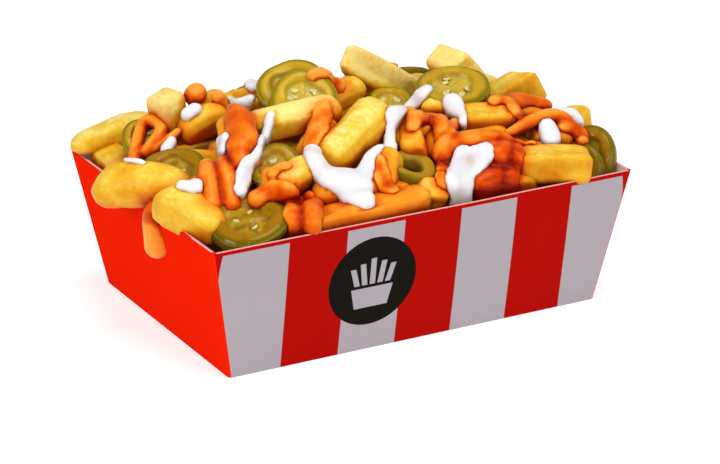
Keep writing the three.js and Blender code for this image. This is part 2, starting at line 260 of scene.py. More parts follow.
WHITE_RIBBONS = [
    # the back slope
    (2.4, [(-20, 36, 67, 5), (-14, 40, 65, 7), (-16, 46, 61, 7), (-20, 52, 56, 6)]),
    (2.2, [(20, 38, 66, 5), (22, 43, 62, 6), (18, 50, 57, 7)]),
    (2.2, [(52, 34, 61, 5), (56, 42, 58, 6)]),
    # the forked pool in front of the thickest fry
    (3.0, [
        (-29, -27, 66.5, 7), (-31, -32, 66, 8), (-31, -36, 64, 9), (-28, -39, 61, 11), (-24, -42, 60, 13),
    ]),
    (3.2, [(-29, -40, 60, 10), (-25, -43, 59, 13), (-22, -44.5, 58, 13), (-20, -45, 57, 10)]),
    (3.0, [(-25, -46, 57, 10), (-22, -48.5, 55, 10), (-21, -49.5, 54.5, 9)]),
    (2.6, [(-19, -43, 59, 9), (-15, -39, 61, 7), (-12, -37, 64, 5), (-9, -36, 67, 4), (-7, -36, 68, 3)]),
    # left: over the long fry and down beside the fold
    (1.9, [
        (-35, -8, 75, 3.6), (-39, -12, 71, 3.6), (-43, -16, 68, 3.2), (-48, -22, 66, 4),
        (-53, -25, 65, 5.5), (-57, -29, 62, 6.5), (-60, -33, 60, 5),
    ]),
    (2.2, [(-54, -8, 68, 5), (-53, -8, 65, 6), (-54, -10, 62, 5)]),
    (2.2, [(-51, 19, 70, 6), (-54, 18.5, 69, 5.5)]),
    (1.8, [(-62, 15, 61, 4), (-66, 12, 60, 5)]),
    (1.2, [(-84, 6, 61, 3), (-82, 3, 61, 3.5), (-80, 0, 60, 3)]),
    (2.8, [(-75, -20, 55, 6), (-72, -22, 55, 7.5), (-70, -21, 55, 6)]),
    (2.0, [(-36, 20, 70, 5), (-31, 22, 68, 5), (-27, 23, 66, 4)]),
    # front right: the broad ribbon that runs down to the rim
    (3.6, [(23, -41, 60, 9), (21, -44, 58, 11), (18, -47, 55, 11), (16, -50, 51, 11), (15, -52, 47, 10)]),
    (2.8, [(22, -42, 60, 7), (27, -42, 60, 7), (31, -42, 59.5, 6)]),
    (3.0, [(29.5, -43, 58, 8), (25, -45, 57, 9), (21, -47, 55, 7)]),
    # middle and right end
    (2.6, [(11, -17, 71, 6), (7, -19, 69, 7), (5, -21, 67, 4.5), (3, -24, 64, 4), (1, -28, 62, 5)]),
    (2.0, [(29, -5, 73, 4.5), (25, -6, 72, 6.5), (21, -6, 70, 5.5)]),
    (3.2, [(34, -14, 69, 8), (34, -16, 67, 7), (34, -21, 64.5, 3.5), (32.5, -24, 63, 3.5)]),
    (2.8, [(60.5, -35, 60.5, 7.5), (60, -37.5, 59.5, 8.5), (59.5, -39, 58.5, 8)]),
    (2.4, [(72, -24, 62, 5), (75.5, -26, 60, 6), (77.5, -29, 57, 4)]),
]

# Where a thin glaze of sauce colours the fries: how far it reaches, and its two ends.
GLAZES = [
    (9, (-40, -49, 51), (-4, -49, 52)),
    (8, (-24, -42, 56), (0, -44, 54)),
    (7, (-8, -38, 57), (-11, -46, 53)),
    (11, (12, -36, 58), (44, -40, 56)),
    (7, (-56, 13, 60), (-48, 3, 61)),
    (8, (52, -20, 62), (70, -24, 58)),
    (7, (14, -14, 67), (30, -20, 64)),
    (6.5, (-92, 8, 46), (-70, -18, 49.5)),
    (7, (-76, 26, 50), (-70, 8, 52)),
]
# Where the orange sauce is painted deepest in colour, as shade, in the same way.
DEEP_SAUCE = [
    (9, (40, -45, 57), (30, -51, 51)),
    (5, (12, -36, 57), (12, -46, 51)),
    (8, (-46, -4, 74), (-53, -22, 65)),
    (6, (48, -20, 68), (58, -16, 66)),
]

# Free strands and drips of orange sauce, as x, y, z and radius at each point.
ORANGE_STRANDS = [
    [
        (-78, -13.5, 54, 2.6), (-83, -13.5, 52, 3.2), (-84.2, -13.3, 48, 3.1), (-83.2, -13, 43, 3.7),
        (-82, -12.8, 40, 4.5), (-81.6, -12.8, 37.6, 4.7),
    ],
    [
        (44, -36, 63.5, 1.8), (49, -35, 64.8, 2.3), (55, -34, 66, 2.6), (61, -33, 66.5, 2.7),
        (66.5, -33, 65.5, 2.7), (70, -35, 62.5, 2.6), (70, -38, 59.5, 2.6),
    ],
    [(-49, 24.5, 74.8, 3.6), (-48, 24, 75.6, 3.9)],
    [(-42.5, 18, 75.4, 2.6), (-41.5, 18.5, 74, 3.1), (-41, 19, 71.5, 3.0)],
    [
        (-77, 15, 57.5, 2.4), (-73, 21, 61, 2.6), (-67.7, 28, 65, 2.6), (-65.3, 27.3, 68, 2.6),
        (-63.2, 21.8, 67.6, 2.6), (-64.8, 17.8, 65, 2.4), (-71.8, 16.6, 60.3, 2.2),
    ],
    [(-70, 16.5, 60.6, 2.2), (-66.5, 14, 62.6, 1.9), (-59.8, 15.2, 66.3, 1.4)],
    [(-64.5, -17, 64.5, 3.0), (-66, -21, 63.5, 3.8), (-68, -26, 61, 4.2), (-70, -31.5, 56.5, 4.0)],
    [(-58.5, -18, 64.5, 3.2), (-60, -22, 63.5, 4.0), (-61.5, -27, 61, 4.2), (-63.5, -33, 56, 3.8)],
]

# Each jalapeno slice: its middle's x, y, z, the compass and height angles of its face,
# its diameter, its thickness, its turn about its own axis, how pale its flesh is
# (0 to 1), how open its middle is (0 to 1) and how far it is bent.
SLICES = {
    "jalapeno_01": (-15.5, 13, 75, -122, 54, 24, 5, 20, 0.75, 0.6, 1.0),
    "jalapeno_02": (-16.8, 2.6, 74.6, -120, 56, 23, 4, 100, 0.8, 0.6, 0.8),
    "jalapeno_03": (-68, 24, 62, -120, 60, 17, 4, 10, 0.5, 0.6, 0.5),
    "jalapeno_04": (-71, -5, 59, -118, 62, 22, 5, 200, 0.1, 0.5, 1.0),
    "jalapeno_05": (-43, -26, 63, -118, 62, 19, 4, 60, 0.35, 0.6, 0.6),
    "jalapeno_06": (-61.5, -41.6, 52.2, -120, 70, 27, 5, 150, 0.05, 0.5, 1.0),
    "jalapeno_07": (39.5, -4, 71, -112, 75, 25.5, 5, 30, 0.6, 0.85, 0.6),
    "jalapeno_08": (19, 4, 66, -110, 75, 18, 4, 90, 0.5, 0.5, 0.5),
    "jalapeno_09": (3, -38, 58, -60, 72, 19, 6, 0, 0.3, 1.0, 0.8),
    "jalapeno_10": (66.6, -45.5, 49.6, -150, 35, 19, 3.6, 70, 0.1, 0.5, 0.8),
    "jalapeno_11": (73, -41.5, 51, -145, 35, 22.5, 5, 40, 0.1, 0.4, 0.6),
    "jalapeno_12": (-24, 46, 61, 90, 55, 22, 5, 120, 0.4, 0.5, 0.8),
    "jalapeno_13": (48, 42, 59, 70, 60, 24, 5, 250, 0.2, 0.5, 0.8),
}
# How a slice is cut up: the widths of the rings on its faces, from the skin inwards, as
# shares of its radius, and the heights of the cuts round its skin, of its thickness.
SLICE_RINGS = (0.04, 0.05, 0.06, 0.07, 0.06, 0.05, 0.05, 0.05, 0.06, 0.08, 0.1, 0.1, 0.1)
SKIN_CUTS = (-0.36, -0.18, 0, 0.18, 0.36)
# A slice that has lost its middle is a ring: how far from its centre the ring's middle
# line runs, and half the ring's width, as shares of the slice's radius.
RING_MIDDLE, RING_HALF = 0.72, 0.28

# The sauces are laid over the food along one slanting direction, on an even grid across
# it. SAUCE_VIEW is that direction's compass angle and height above the table, in
# degrees, SAUCE_STEP the grid's spacing and GRID_SPAN how far it goes each way. Rays
# start at RAY_START along the direction. NO_FOOD is the height where none is hit, and
# FAR is past every height.
SAUCE_VIEW = (-28.7, 50.0)
SAUCE_STEP = 0.6
GRID_SPAN = ((-96, 104), (-60, 84))
RAY_START = 200
NO_FOOD = -50.0
FAR = 1e3
# A ribbon finds the food up to RIBBON_REACH above or below its path. Its edges are
# uneven (seed, wavelength and share of its width), and its rim has EDGE_SHARE of the
# thickness along its middle.
RIBBON_REACH = 9.0
EDGE_WAVES = ((77, 14.0, 0.12), (78, 5.0, 0.07))
EDGE_SHARE = 0.35
# A sheet of sauce sinks SHEET_GRIP into the food, but goes down into a gap no further
# than SHEET_DEPTH. Where it is thinner than SHEET_LEAST it is left out. SAUCE_VOXEL is
# the grain at which the sheet and its strands melt into one.
SHEET_GRIP = 0.9
SHEET_DEPTH = 5.0
SHEET_LEAST = 0.15
SAUCE_VOXEL = 0.6
# The orange sauce is painted deeper in colour, as shade, from SAUCE_TOP down to the rim. A
# drip outside the tray is painted lighter again, as light, by SAUCE_DRIP, DRIP_LIGHTENING
# times as much as it had deepened.
SAUCE_TOP = 72.0
SAUCE_DRIP = 44.0
DRIP_LIGHTENING = 2.8


# ---------------------------------------------------------------- small helpers
def deselect():
    bpy.ops.object.select_all(action="DESELECT")


def select_only(obj):
    """Only this piece selected, and the one that operators act on."""
    deselect()
    obj.select_set(True)
    bpy.context.view_layer.objects.active = obj


def linear(hex_code):
    """An sRGB hex colour as linear red, green, blue and alpha."""
    parts = [int(hex_code[i : i + 2], 16) / 255 for i in (1, 3, 5)]
    turned = [c / 12.92 if c <= 0.04045 else ((c + 0.055) / 1.055) ** 2.4 for c in parts]
    return (*turned, 1.0)


def vertices_of(obj):
    """The piece's points as rows of x, y, z, in metres."""
    points = np.empty(len(obj.data.vertices) * 3)
    obj.data.vertices.foreach_get("co", points)
    return points.reshape(-1, 3)


def set_vertices(obj, points):
    obj.data.vertices.foreach_set("co", np.ascontiguousarray(points, dtype=float).ravel())
    obj.data.update()


def join(objects, name):
    """Several pieces made one, with this name."""
    deselect()
    for obj in objects:
        obj.select_set(True)
    bpy.context.view_layer.objects.active = objects[0]
    if len(objects) > 1:
        bpy.ops.object.join()
    joined = bpy.context.view_layer.objects.active
    joined.name = name
    joined.data.name = name
    return joined


def edit(obj):
    """Edit mode on this piece, with nothing selected."""
    select_only(obj)
    bpy.ops.object.mode_set(mode="EDIT")
    bpy.ops.mesh.select_all(action="DESELECT")


def pick(obj, part, test):
    """In edit mode, select the faces or edges whose middle and direction pass the test."""
    bpy.ops.mesh.select_all(action="DESELECT")
    bpy.ops.mesh.select_mode(type=part)
    mesh = bmesh.from_edit_mesh(obj.data)
    for item in mesh.faces if part == "FACE" else mesh.edges:
        if part == "FACE":
            middle, direction = item.calc_center_median() / MM, item.normal
        else:
            a, b = (v.co for v in item.verts)
            middle, direction = (a + b) / 2 / MM, (b - a).normalized()
        if test(middle, direction):
            item.select_set(True)
    mesh.select_flush_mode()
    bmesh.update_edit_mesh(obj.data)


def apply_modifier(obj, kind, **settings):
    """A modifier with its settings, applied at once."""
    select_only(obj)
    modifier = obj.modifiers.new(kind.title(), kind)
    for key, value in settings.items():
        setattr(modifier, key, value)
    bpy.ops.object.modifier_apply(modifier=modifier.name)


def smooth_shading(obj, angle=180):
    """Smooth shading, with edges sharper than the angle left sharp."""
    select_only(obj)
    bpy.ops.object.shade_smooth_by_angle(angle=math.radians(angle))


def set_attribute(obj, name, values):
    """A number for each vertex, which the materials read."""
    layer = obj.data.attributes.new(name, "FLOAT", "POINT")
    layer.data.foreach_set("value", np.asarray(values, dtype=float))


def mound_height(x, y):
    """How high the mound stands at this place."""
    along_length = 1 - np.minimum(np.abs(x) / MOUND_HALF[0], 1) ** MOUND_FLATNESS[0]
    along_width = 1 - np.minimum(np.abs(y) / MOUND_HALF[1], 1) ** MOUND_FLATNESS[1]
    return MOUND_EDGE + MOUND_RISE * along_length * along_width


# ---------------------------------------------------------------- fries
def make_fry_blank(cuts, segments):
    """A rounded square stick of length 2 and thickness 1, cut across for bending."""
    deselect()
    bpy.ops.mesh.primitive_cube_add(size=1)
    blank = bpy.context.object
    edit(blank)
    bpy.ops.mesh.select_all(action="SELECT")
    bpy.ops.transform.resize(value=(2, 1, 1))
    bpy.ops.mesh.bevel(offset=BLANK_ROUNDING, segments=segments, profile=0.6, affect="EDGES")
    planes = [
        (((2 * k / cuts - 1) * BLANK_CUT_REACH, 0, 0), (1, 0, 0)) for k in range(cuts + 1)
    ]
    planes += [((0, k * BLANK_FACE_CUT, 0), (0, 1, 0)) for k in (-1, 0, 1)]
    planes += [((0, 0, k * BLANK_FACE_CUT), (0, 0, 1)) for k in (-1, 0, 1)]
    for point, normal in planes:
        bpy.ops.mesh.select_all(action="SELECT")
        bpy.ops.mesh.bisect(plane_co=point, plane_no=normal)
    bpy.ops.object.mode_set(mode="OBJECT")
    return blank


def wobble(points, seed, wavelength, reach):
    """A smooth uneven offset at each point, from a few crossing waves."""
    draw = np.random.default_rng(seed)
    total = np.zeros(len(points))
    for _ in range(6):
        direction = draw.normal(size=3)
        direction /= np.linalg.norm(direction)
        scale = 2 * math.pi / (wavelength * draw.uniform(0.7, 1.5))
        total += np.sin(points @ direction * scale + draw.uniform(0, 2 * math.pi))
    return total * reach / 3


def shape_fry(points, fry, seed):
    """The blank's points rounded, stretched, narrowed, roughened, bowed and placed."""
    start, end = np.array(fry[0:3], float), np.array(fry[3:6], float)
    thickness, roll, bow, narrowing = fry[6:10]
    draw = random.Random(seed)
    roundness, cut_ends, slant = fry[10:] or (
        draw.uniform(0.1, 0.5), draw.choice((0.1, 0.5, 0.9)), draw.uniform(-0.4, 0.4)
    )
    along = end - start
    length = np.linalg.norm(along)
    along /= length
    half, cap = length / 2, thickness / 2
    x, y, z = points.T
    # the cross-section goes from square towards round, and the ends towards domes
    away = np.hypot(y, z) + TINY
    square = np.maximum(np.abs(y), np.abs(z)) * 2
    to_round = (1 - roundness) + roundness * square * ROUND_RADIUS / away
    tip = (np.abs(x) - 0.5).clip(0) * 2
    dome = np.sqrt(1 - tip**2 * (CUT_CLOSING + DOME_CLOSING * (1 - cut_ends)) * 0.95)
    y, z = y * to_round * dome, z * to_round * dome
    # the blank's middle stretches to the fry's length, and its two caps don't
    core = np.clip(x, -0.5, 0.5) * 2 * (half - cap)
    run = core + tip / 2 * np.sign(x) * thickness
    height = thickness * draw.uniform(0.86, 1.0)
    width = thickness * draw.uniform(0.94, 1.06)
    # both ends narrow, the second one as far as the fry's own row says
    t = (run + half) / length
    second_end = np.clip((t - 0.35) / 0.65, 0, 1) ** 1.5
    first_end = np.clip((0.3 - t) / 0.3, 0, 1) ** 1.5
    taper = 1 - narrowing * second_end - 0.1 * first_end
    across = y * width * (1 - 0.35 * narrowing * second_end)
    up = z * height * taper
    run = run + slant * across * np.clip(np.abs(t - 0.5) * 2, 0, 1) ** 3
    # the surface swells unevenly, and the flat faces sink between their edges
    local = np.stack([run, across, up], 1)
    swell = wobble(local, seed, thickness * 1.8, 0.55) + wobble(local, seed + 1, 5.0, 0.13)
    flat_face = (1 - np.minimum(np.abs(y), np.abs(z)) / 0.3).clip(0) * (1 - roundness)
    swell -= FACE_SINK * flat_face * (tip < 0.5)
    radial = np.stack([np.sign(x) * (np.abs(x) > 0.97), y * 2, z * 2], 1)
    radial /= np.linalg.norm(radial, axis=1)[:, None] + TINY
    local += radial * swell[:, None]
    # then the fry is turned into its place, bowed upwards and bent a little sideways
    side = np.cross([0, 0, 1], along)
    side /= np.linalg.norm(side)
    lift = np.cross(along, side)
    angle = math.radians(roll)
    a = side * math.cos(angle) + lift * math.sin(angle)
    b = lift * math.cos(angle) - side * math.sin(angle)
    placed = (start + end) / 2 + local[:, :1] * along + local[:, 1:2] * a + local[:, 2:] * b
    placed[:, 2] += bow * 4 * t * (1 - t)
    bend = draw.uniform(-1, 1) * 0.03 * length
    placed += (bend * (4 * t * (1 - t) - 0.6))[:, None] * side
    # its edges and ends are the crispest
    edge = np.clip((np.abs(points[:, 1]) + np.abs(points[:, 2]) - 0.66) / 0.25, 0, 1)
    ends = np.clip((np.abs(x) - 0.8) / 0.2, 0, 1)
    return placed, np.maximum(edge * 0.8 * (1 - roundness), ends * 0.6)


def make_fries(name, blank, fries, seed):
    """Copies of the blank shaped into fries, joined as one piece."""
    points = vertices_of(blank)
    copies, crisp, tone = [], [], []
    for index, fry in enumerate(fries):
        copy = blank.copy()
        copy.data = blank.data.copy()
        bpy.context.scene.collection.objects.link(copy)
        placed, browned = shape_fry(points, fry, seed + index)
        set_vertices(copy, placed * MM)
        copies.append(copy)
        crisp.append(browned)
        # a fry's tone is drawn at random, and a fry high on the heap is painted paler as light
        ripe = random.Random(seed + 7 * index).random() * (0.4 if len(fry) > 10 else 1.0)
        ripe -= PALE_SHIFT * min(max((max(fry[2], fry[5]) - PALE_ABOVE) / PALE_REACH, 0), 1)
        tone.append(np.full(len(points), ripe))
    heap = join(copies, name)
    set_attribute(heap, "crisp", np.concatenate(crisp))
    set_attribute(heap, "tone", np.concatenate(tone))
    smooth_shading(heap)
    return heap


def normals_of(obj):
    normals = np.empty(len(obj.data.vertices) * 3)
    obj.data.vertices.foreach_get("normal", normals)
    return normals.reshape(-1, 3)


def even_directions(count):
    """Unit vectors spread evenly over the sphere."""
    k = np.arange(count) + 0.5
    height = 1 - 2 * k / count
    angle = math.pi * (1 + math.sqrt(5)) * k
    flat = np.sqrt(1 - height**2)
    return np.stack([flat * np.cos(angle), flat * np.sin(angle), height], 1)


def paint_crevices(piece, tree, rays):
    """Painted shade: how shut in each point is, from 0 in the open to 1 in a deep gap,
    and how far it faces away from PAINT_LIGHT.
    """
    points, normals = vertices_of(piece) / MM, normals_of(piece)
    starts = [Vector(p) for p in points + normals * SKIN_GAP]
    blocked = np.zeros(len(points))
    for direction in even_directions(rays):
        ways = normals + direction * RAY_SPREAD
        for k, (start, way) in enumerate(zip(starts, ways)):
            distance = tree.ray_cast(start, Vector(way), CREVICE_REACH)[3]
            if distance is not None:
                blocked[k] += 1 - 0.5 * distance / CREVICE_REACH
    set_attribute(piece, "crevice", blocked / rays)
    shade = 0.5 - normals @ np.array(PAINT_LIGHT) * 0.6
    set_attribute(piece, "shade", np.clip(shade, 0, 1))


def paint_ridges(piece):
    """How far each point stands out, for the sauce's painted highlight on ridges and
    painted shade in grooves: 1 at the top of a bulge, 0.5 on a flat place, 0 in a groove.
    """
    points = vertices_of(piece) / MM
    edges = np.array([tuple(edge.vertices) for edge in piece.data.edges])
    count = np.bincount(edges.ravel(), minlength=len(points)).clip(1)[:, None]
    smooth = points.copy()
    for _ in range(RIDGE_PASSES):
        total = np.stack([
            np.bincount(edges[:, 0], smooth[edges[:, 1], k], len(points))
            + np.bincount(edges[:, 1], smooth[edges[:, 0], k], len(points))
            for k in range(3)
        ], 1)
        smooth = total / count
    out = ((points - smooth) * normals_of(piece)).sum(1)
    set_attribute(piece, "ridge", np.clip(0.5 + out * RIDGE_GAIN, 0, 1))


def inside_zones(points, zones):
    """How deep each point lies in the zones: 1 inside one, 0 well away from all."""
    depth = np.zeros(len(points))
    for radius, start, end in zones:
        start, way = np.array(start, float), np.array(end, float) - np.array(start, float)
        t = ((points - start) @ way / (way @ way)).clip(0, 1)
        away = np.linalg.norm(points - start - t[:, None] * way, axis=1)
        depth = np.maximum(depth, np.exp(-((away / radius) ** 4)))
    return depth


def paint_stains(fries, sauce):
    """How near the sauce, or how deep in a glaze of it, each point of the fries lies."""
    points = vertices_of(fries) / MM
    tree = surface_tree([sauce])
    near = np.array([
        tree.find_nearest(Vector(p), STAIN_REACH)[3] or STAIN_REACH for p in points
    ])
    stain = np.exp(-((near / STAIN_WIDTH) ** STAIN_FALL))
    stain = np.maximum(stain, GLAZE_STRENGTH * inside_zones(points, GLAZES))
    set_attribute(fries, "sauced", stain)


def make_core():
    """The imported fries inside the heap, as one low lumpy mound."""
    deselect()
    bpy.ops.mesh.primitive_grid_add(x_subdivisions=120, y_subdivisions=80, size=2)
    core = bpy.context.object
    core.name = core.data.name = "heap_core"
    edit(core)
    bpy.ops.mesh.select_all(action="SELECT")
    bpy.ops.mesh.extrude_region_move(TRANSFORM_OT_translate={"value": (0, 0, 1)})
    bpy.ops.object.mode_set(mode="OBJECT")
    points = vertices_of(core)
    x, y = points[:, 0] * CORE_HALF[0], points[:, 1] * CORE_HALF[1]
    flat = np.stack([x, y, np.zeros(len(x))], 1)
    top = mound_height(x, y) - CORE_DROP + sum(wobble(flat, *lump) for lump in CORE_LUMPS)
    z = np.where(points[:, 2] > 0.5, top, CORE_FLOOR)
    narrow = 1 - (TRAY_HEIGHT - z.clip(0, TRAY_HEIGHT)) / TRAY_HEIGHT * CORE_NARROWING
    set_vertices(core, np.stack([x * narrow, y * narrow, z], 1) * MM)
    smooth_shading(core, 60)
    set_attribute(core, "crisp", np.full(len(points), 0.4))
    set_attribute(core, "tone", np.full(len(points), 0.5))
    return core


def filler_fries(count, seed, depth):
    """Fries drawn at random that lie on the mound, some way below its surface."""
    draw = random.Random(seed)
    drawn = []
    while len(drawn) < count:
        x, y = (draw.uniform(-spread, spread) for spread in FILLER_SPREAD)
        heading = draw.uniform(0, math.pi)
        half = draw.uniform(*FILLER_HALF_LENGTH)
        dx, dy = half * math.cos(heading), half * math.sin(heading)
        ends = [(x - dx, y - dy), (x + dx, y + dy)]
        if any(abs(ex) > FILLER_LIMIT[0] or abs(ey) > FILLER_LIMIT[1] for ex, ey in ends):
            continue
        level = draw.uniform(*depth)
        start, end = ((ex, ey, float(mound_height(ex, ey)) - level) for ex, ey in ends)
        thickness, roll = draw.uniform(*FILLER_THICKNESS), draw.uniform(0, 60)
        drawn.append((*start, *end, thickness, roll, 0, draw.uniform(0, 0.3)))
    return drawn


# ---------------------------------------------------------------- tray
def make_tray():
    """The folded tray: an open flared box whose end walls fold over at the top."""
    deselect()
    bpy.ops.mesh.primitive_cube_add(size=1)
    tray = bpy.context.object
    tray.name = tray.data.name = "folded_tray"
    edit(tray)
    bpy.ops.mesh.select_all(action="SELECT")
    bpy.ops.transform.resize(value=(2 * BASE_HALF[0] * MM, 2 * BASE_HALF[1] * MM, TRAY_HEIGHT * MM))
    bpy.ops.transform.translate(value=(0, 0, TRAY_HEIGHT / 2 * MM))
    pick(tray, "FACE", lambda middle, normal: normal.z > 0.5)
    bpy.ops.transform.resize(value=(RIM_HALF[0] / BASE_HALF[0], RIM_HALF[1] / BASE_HALF[1], 1))
    bpy.ops.mesh.delete(type="ONLY_FACE")
    pick(tray, "EDGE", lambda middle, way: abs(way.z) > 0.8)
    bpy.ops.mesh.bevel(offset=CORNER_RADIUS * MM, segments=4, affect="EDGES")
    for axis, places in WALL_CUTS.items():
        normal = Vector([float(axis == k) for k in range(3)])
        for place in places:
            bpy.ops.mesh.select_all(action="SELECT")
            bpy.ops.mesh.bisect(plane_co=normal * place * MM, plane_no=normal)
    slope = math.atan2(RIM_HALF[0] - BASE_HALF[0], TRAY_HEIGHT)
    for side in (-1, 1):
        pick(tray, "EDGE", lambda middle, way: (
            middle.z > TRAY_HEIGHT - 0.01 and abs(way.y) > 0.99 and middle.x * side > 0
        ))
        down = Vector((-side * math.sin(slope), 0, -math.cos(slope)))
        inward = Vector((-side * math.cos(slope), 0, math.sin(slope)))
        bpy.ops.transform.translate(value=down * FOLD_RADIUS * MM)
        start = Vector((side * RIM_HALF[0], 0, TRAY_HEIGHT)) + down * FOLD_RADIUS
        bpy.ops.mesh.spin(
            steps=8, angle=side * math.pi, center=(start + inward * FOLD_RADIUS) * MM,
            axis=(0, 1, 0),
        )
        bpy.ops.mesh.extrude_region_move(
            TRANSFORM_OT_translate={"value": down * FLAP_DEPTH * MM}
        )
        bpy.ops.transform.resize(value=(1, FLAP_NARROWING, 1))
    bpy.ops.mesh.select_all(action="SELECT")
    bpy.ops.mesh.remove_doubles(threshold=0.001 * MM)
    bpy.ops.mesh.normals_make_consistent(inside=False)
    bpy.ops.object.mode_set(mode="OBJECT")
    return tray


def tray_half(z):
    """Half the tray's length and half its width at this height."""
    return [base + (rim - base) * z / TRAY_HEIGHT for base, rim in zip(BASE_HALF, RIM_HALF)]


def finish_tray(tray):
    """Bow the walls a little, give the board its thickness and sort faces by print."""
    points = vertices_of(tray) / MM
    x, y, z = points.T
    share = np.clip(z / TRAY_HEIGHT, 0, 1)
    rise = np.sin(np.pi * share) * 0.5 + share * 0.3
    half_x, half_y = tray_half(z)
    # each wall bows out between its corners, an end wall with its folded flap
    long_wall = (np.abs(y) > half_y - 0.1) & (z > 0.5)
    end_wall = (np.abs(x) > half_x - 2.2) & (z > 0.5) & ~long_wall
    points[:, 1] += long_wall * np.sign(y) * rise * BOW * (1 - (x / half_x) ** 2).clip(0)
    points[:, 0] += end_wall * np.sign(x) * rise * BOW * (1 - (y / half_y) ** 2).clip(0)
    points[:, 2] += (z > TRAY_HEIGHT - 0.01) * wobble(points, 31, 60.0, 0.12)
    set_vertices(tray, points * MM)
    apply_modifier(tray, "SOLIDIFY", thickness=BOARD * MM, offset=-1)
    apply_modifier(tray, "BEVEL", width=0.1 * MM, segments=2, limit_method="ANGLE")
    # each face gets its finish from where it lies and which way it points
    stripes, red, inside, edge = range(4)
    slots = []
    for face in tray.data.polygons:
        x, y, z = face.center / MM
        normal = face.normal
        half_x, half_y = tray_half(z)
        facing_out = normal.x * x + normal.y * y > 0
        at_corner = abs(x) > half_x - CORNER_RADIUS and abs(y) > half_y - CORNER_RADIUS
        at_outside = abs(x) > half_x - 0.5 or at_corner
        if z < 0.1:
            slots.append(inside)
        elif abs(y) > half_y - 0.5 and abs(normal.y) > 0.85 and facing_out:
            slots.append(stripes)
        elif at_outside and facing_out:
            slots.append(red)
        # the rim's top, its pink partly a painted highlight along the rim
        elif z > TRAY_HEIGHT - 0.6 and normal.z > 0.3:
            slots.append(edge)
        else:
            slots.append(inside)
    for material in tray_boards():
        tray.data.materials.append(material)
    tray.data.polygons.foreach_set("material_index", slots)
    tray.data.update()
    smooth_shading(tray, 35)


# ---------------------------------------------------------------- jalapeno slices
def make_slice_blank():
    """A disc of radius 1 and thickness 1 with rings of points on both faces."""
    deselect()
    bpy.ops.mesh.primitive_cylinder_add(vertices=42, radius=1, depth=1, end_fill_type="NGON")
    blank = bpy.context.object
    for side in (-1, 1):
        edit(blank)
        pick(blank, "FACE", lambda middle, normal: normal.z * side > 0.9)
        for thickness in SLICE_RINGS:
            bpy.ops.mesh.inset(thickness=thickness, depth=0)
        bpy.ops.mesh.poke()
        bpy.ops.object.mode_set(mode="OBJECT")
    edit(blank)
    for height in SKIN_CUTS:
        bpy.ops.mesh.select_all(action="SELECT")
        bpy.ops.mesh.bisect(plane_co=(0, 0, height), plane_no=(0, 0, 1))
    bpy.ops.object.mode_set(mode="OBJECT")
    return blank


def smooth_step(values, low, high):
    """0 up to the low value, 1 from the high one on, and an even swing between them."""
    t = np.clip((values - low) / (high - low), 0, 1)
    return t * t * (3 - 2 * t)


def slice_frame(compass, height, turn):
    """The slice's own axes: two in its face and one out of it."""
    compass, height, turn = (math.radians(a) for a in (compass, height, turn))
    out = Vector((
        math.cos(height) * math.cos(compass), math.cos(height) * math.sin(compass),
        math.sin(height),
    ))
    across = Vector((0, 0, 1)).cross(out).normalized()
    up = out.cross(across)
    return Matrix((
        across * math.cos(turn) + up * math.sin(turn),
        up * math.cos(turn) - across * math.sin(turn), out,
    )).transposed()


def make_ring_blank():
    """A hollow ring of outer radius 1 and thickness 1, for a slice without a middle."""
    deselect()
    bpy.ops.mesh.primitive_torus_add(
        major_segments=48, minor_segments=20, major_radius=RING_MIDDLE, minor_radius=RING_HALF,
    )
    ring = bpy.context.object
    points = vertices_of(ring)
    radius, angle = np.hypot(points[:, 0], points[:, 1]), np.arctan2(points[:, 1], points[:, 0])
    # the round cross-section is pushed out towards a square one
    out, up = (radius - RING_MIDDLE) / RING_HALF, points[:, 2] / RING_HALF
    square = 1 / np.maximum(np.abs(out), np.abs(up)).clip(0.5) * 0.6 + 0.4
    radius = RING_MIDDLE + 0.27 * out * square
    around = [radius * np.cos(angle), radius * np.sin(angle), 0.5 * up * square]
    set_vertices(ring, np.stack(around, 1))
    return ring


def saddle(x, y, diameter, bend):
    """How far the face of a bent slice rises or falls at a place."""
    return bend * ((x / diameter * 2) ** 2 - (y / diameter * 2) ** 2)


def shape_slice(points, row, seed, ribs):
    """A slice's own points: a rounded skin, a ring of flesh and three sunken chambers."""
    diameter, thickness, opening = row[5], row[6], row[9]
    radius, angle = np.hypot(points[:, 0], points[:, 1]), np.arctan2(points[:, 1], points[:, 0])
    side = np.sign(points[:, 2]) * (np.abs(points[:, 2]) > 0.499)
    if opening >= 1:
        inner = 1 - smooth_step(radius, 0.45, 0.6)
        local = points * (diameter / 2, diameter / 2, thickness)
        return local, radius, inner
    # the chambers lie inside the flesh, between three ribs and the core
    ring_in = 0.60 + 0.05 * np.sin(angle * 3 + 0.4) + 0.03 * np.sin(angle * 5 + seed)
    near_rib = np.zeros(len(points))
    for rib in ribs:
        away = np.abs((angle - rib + math.pi) % (2 * math.pi) - math.pi) * radius
        near_rib = np.maximum(near_rib, np.exp(-((away / 0.1) ** 2)))
    core = np.exp(-((radius / 0.2) ** 2))
    hollow = 1 - smooth_step(radius, ring_in - 0.08, ring_in + 0.03)
    chamber = hollow * (1 - 0.4 * np.maximum(near_rib, core))
    # the faces sink at the chambers and round off at the skin, and swell just inside it
    rounding = np.clip((radius - 0.86) / 0.14, 0, 1) ** 2 * 0.22
    swell = 0.06 * np.exp(-(((radius - 0.78) / 0.12) ** 2))
    depth = opening * 0.62 * chamber + rounding - swell
    flat = points[:, 2] * (1 - 2 * np.abs(side) * np.minimum(depth, 0.46))
    # the skin bulges out a little, and the outline isn't quite round
    skin = (side == 0) * (1 - (points[:, 2] / 0.5) ** 2) * 0.05
    shape = 1 + 0.03 * np.sin(2 * angle + seed) + 0.025 * np.sin(3 * angle + 2 * seed)
    around = diameter / 2 * (radius * shape + skin)
    local = np.stack([around * np.cos(angle), around * np.sin(angle), flat * thickness], 1)
    return local, np.where(side == 0, 1.05, radius), chamber


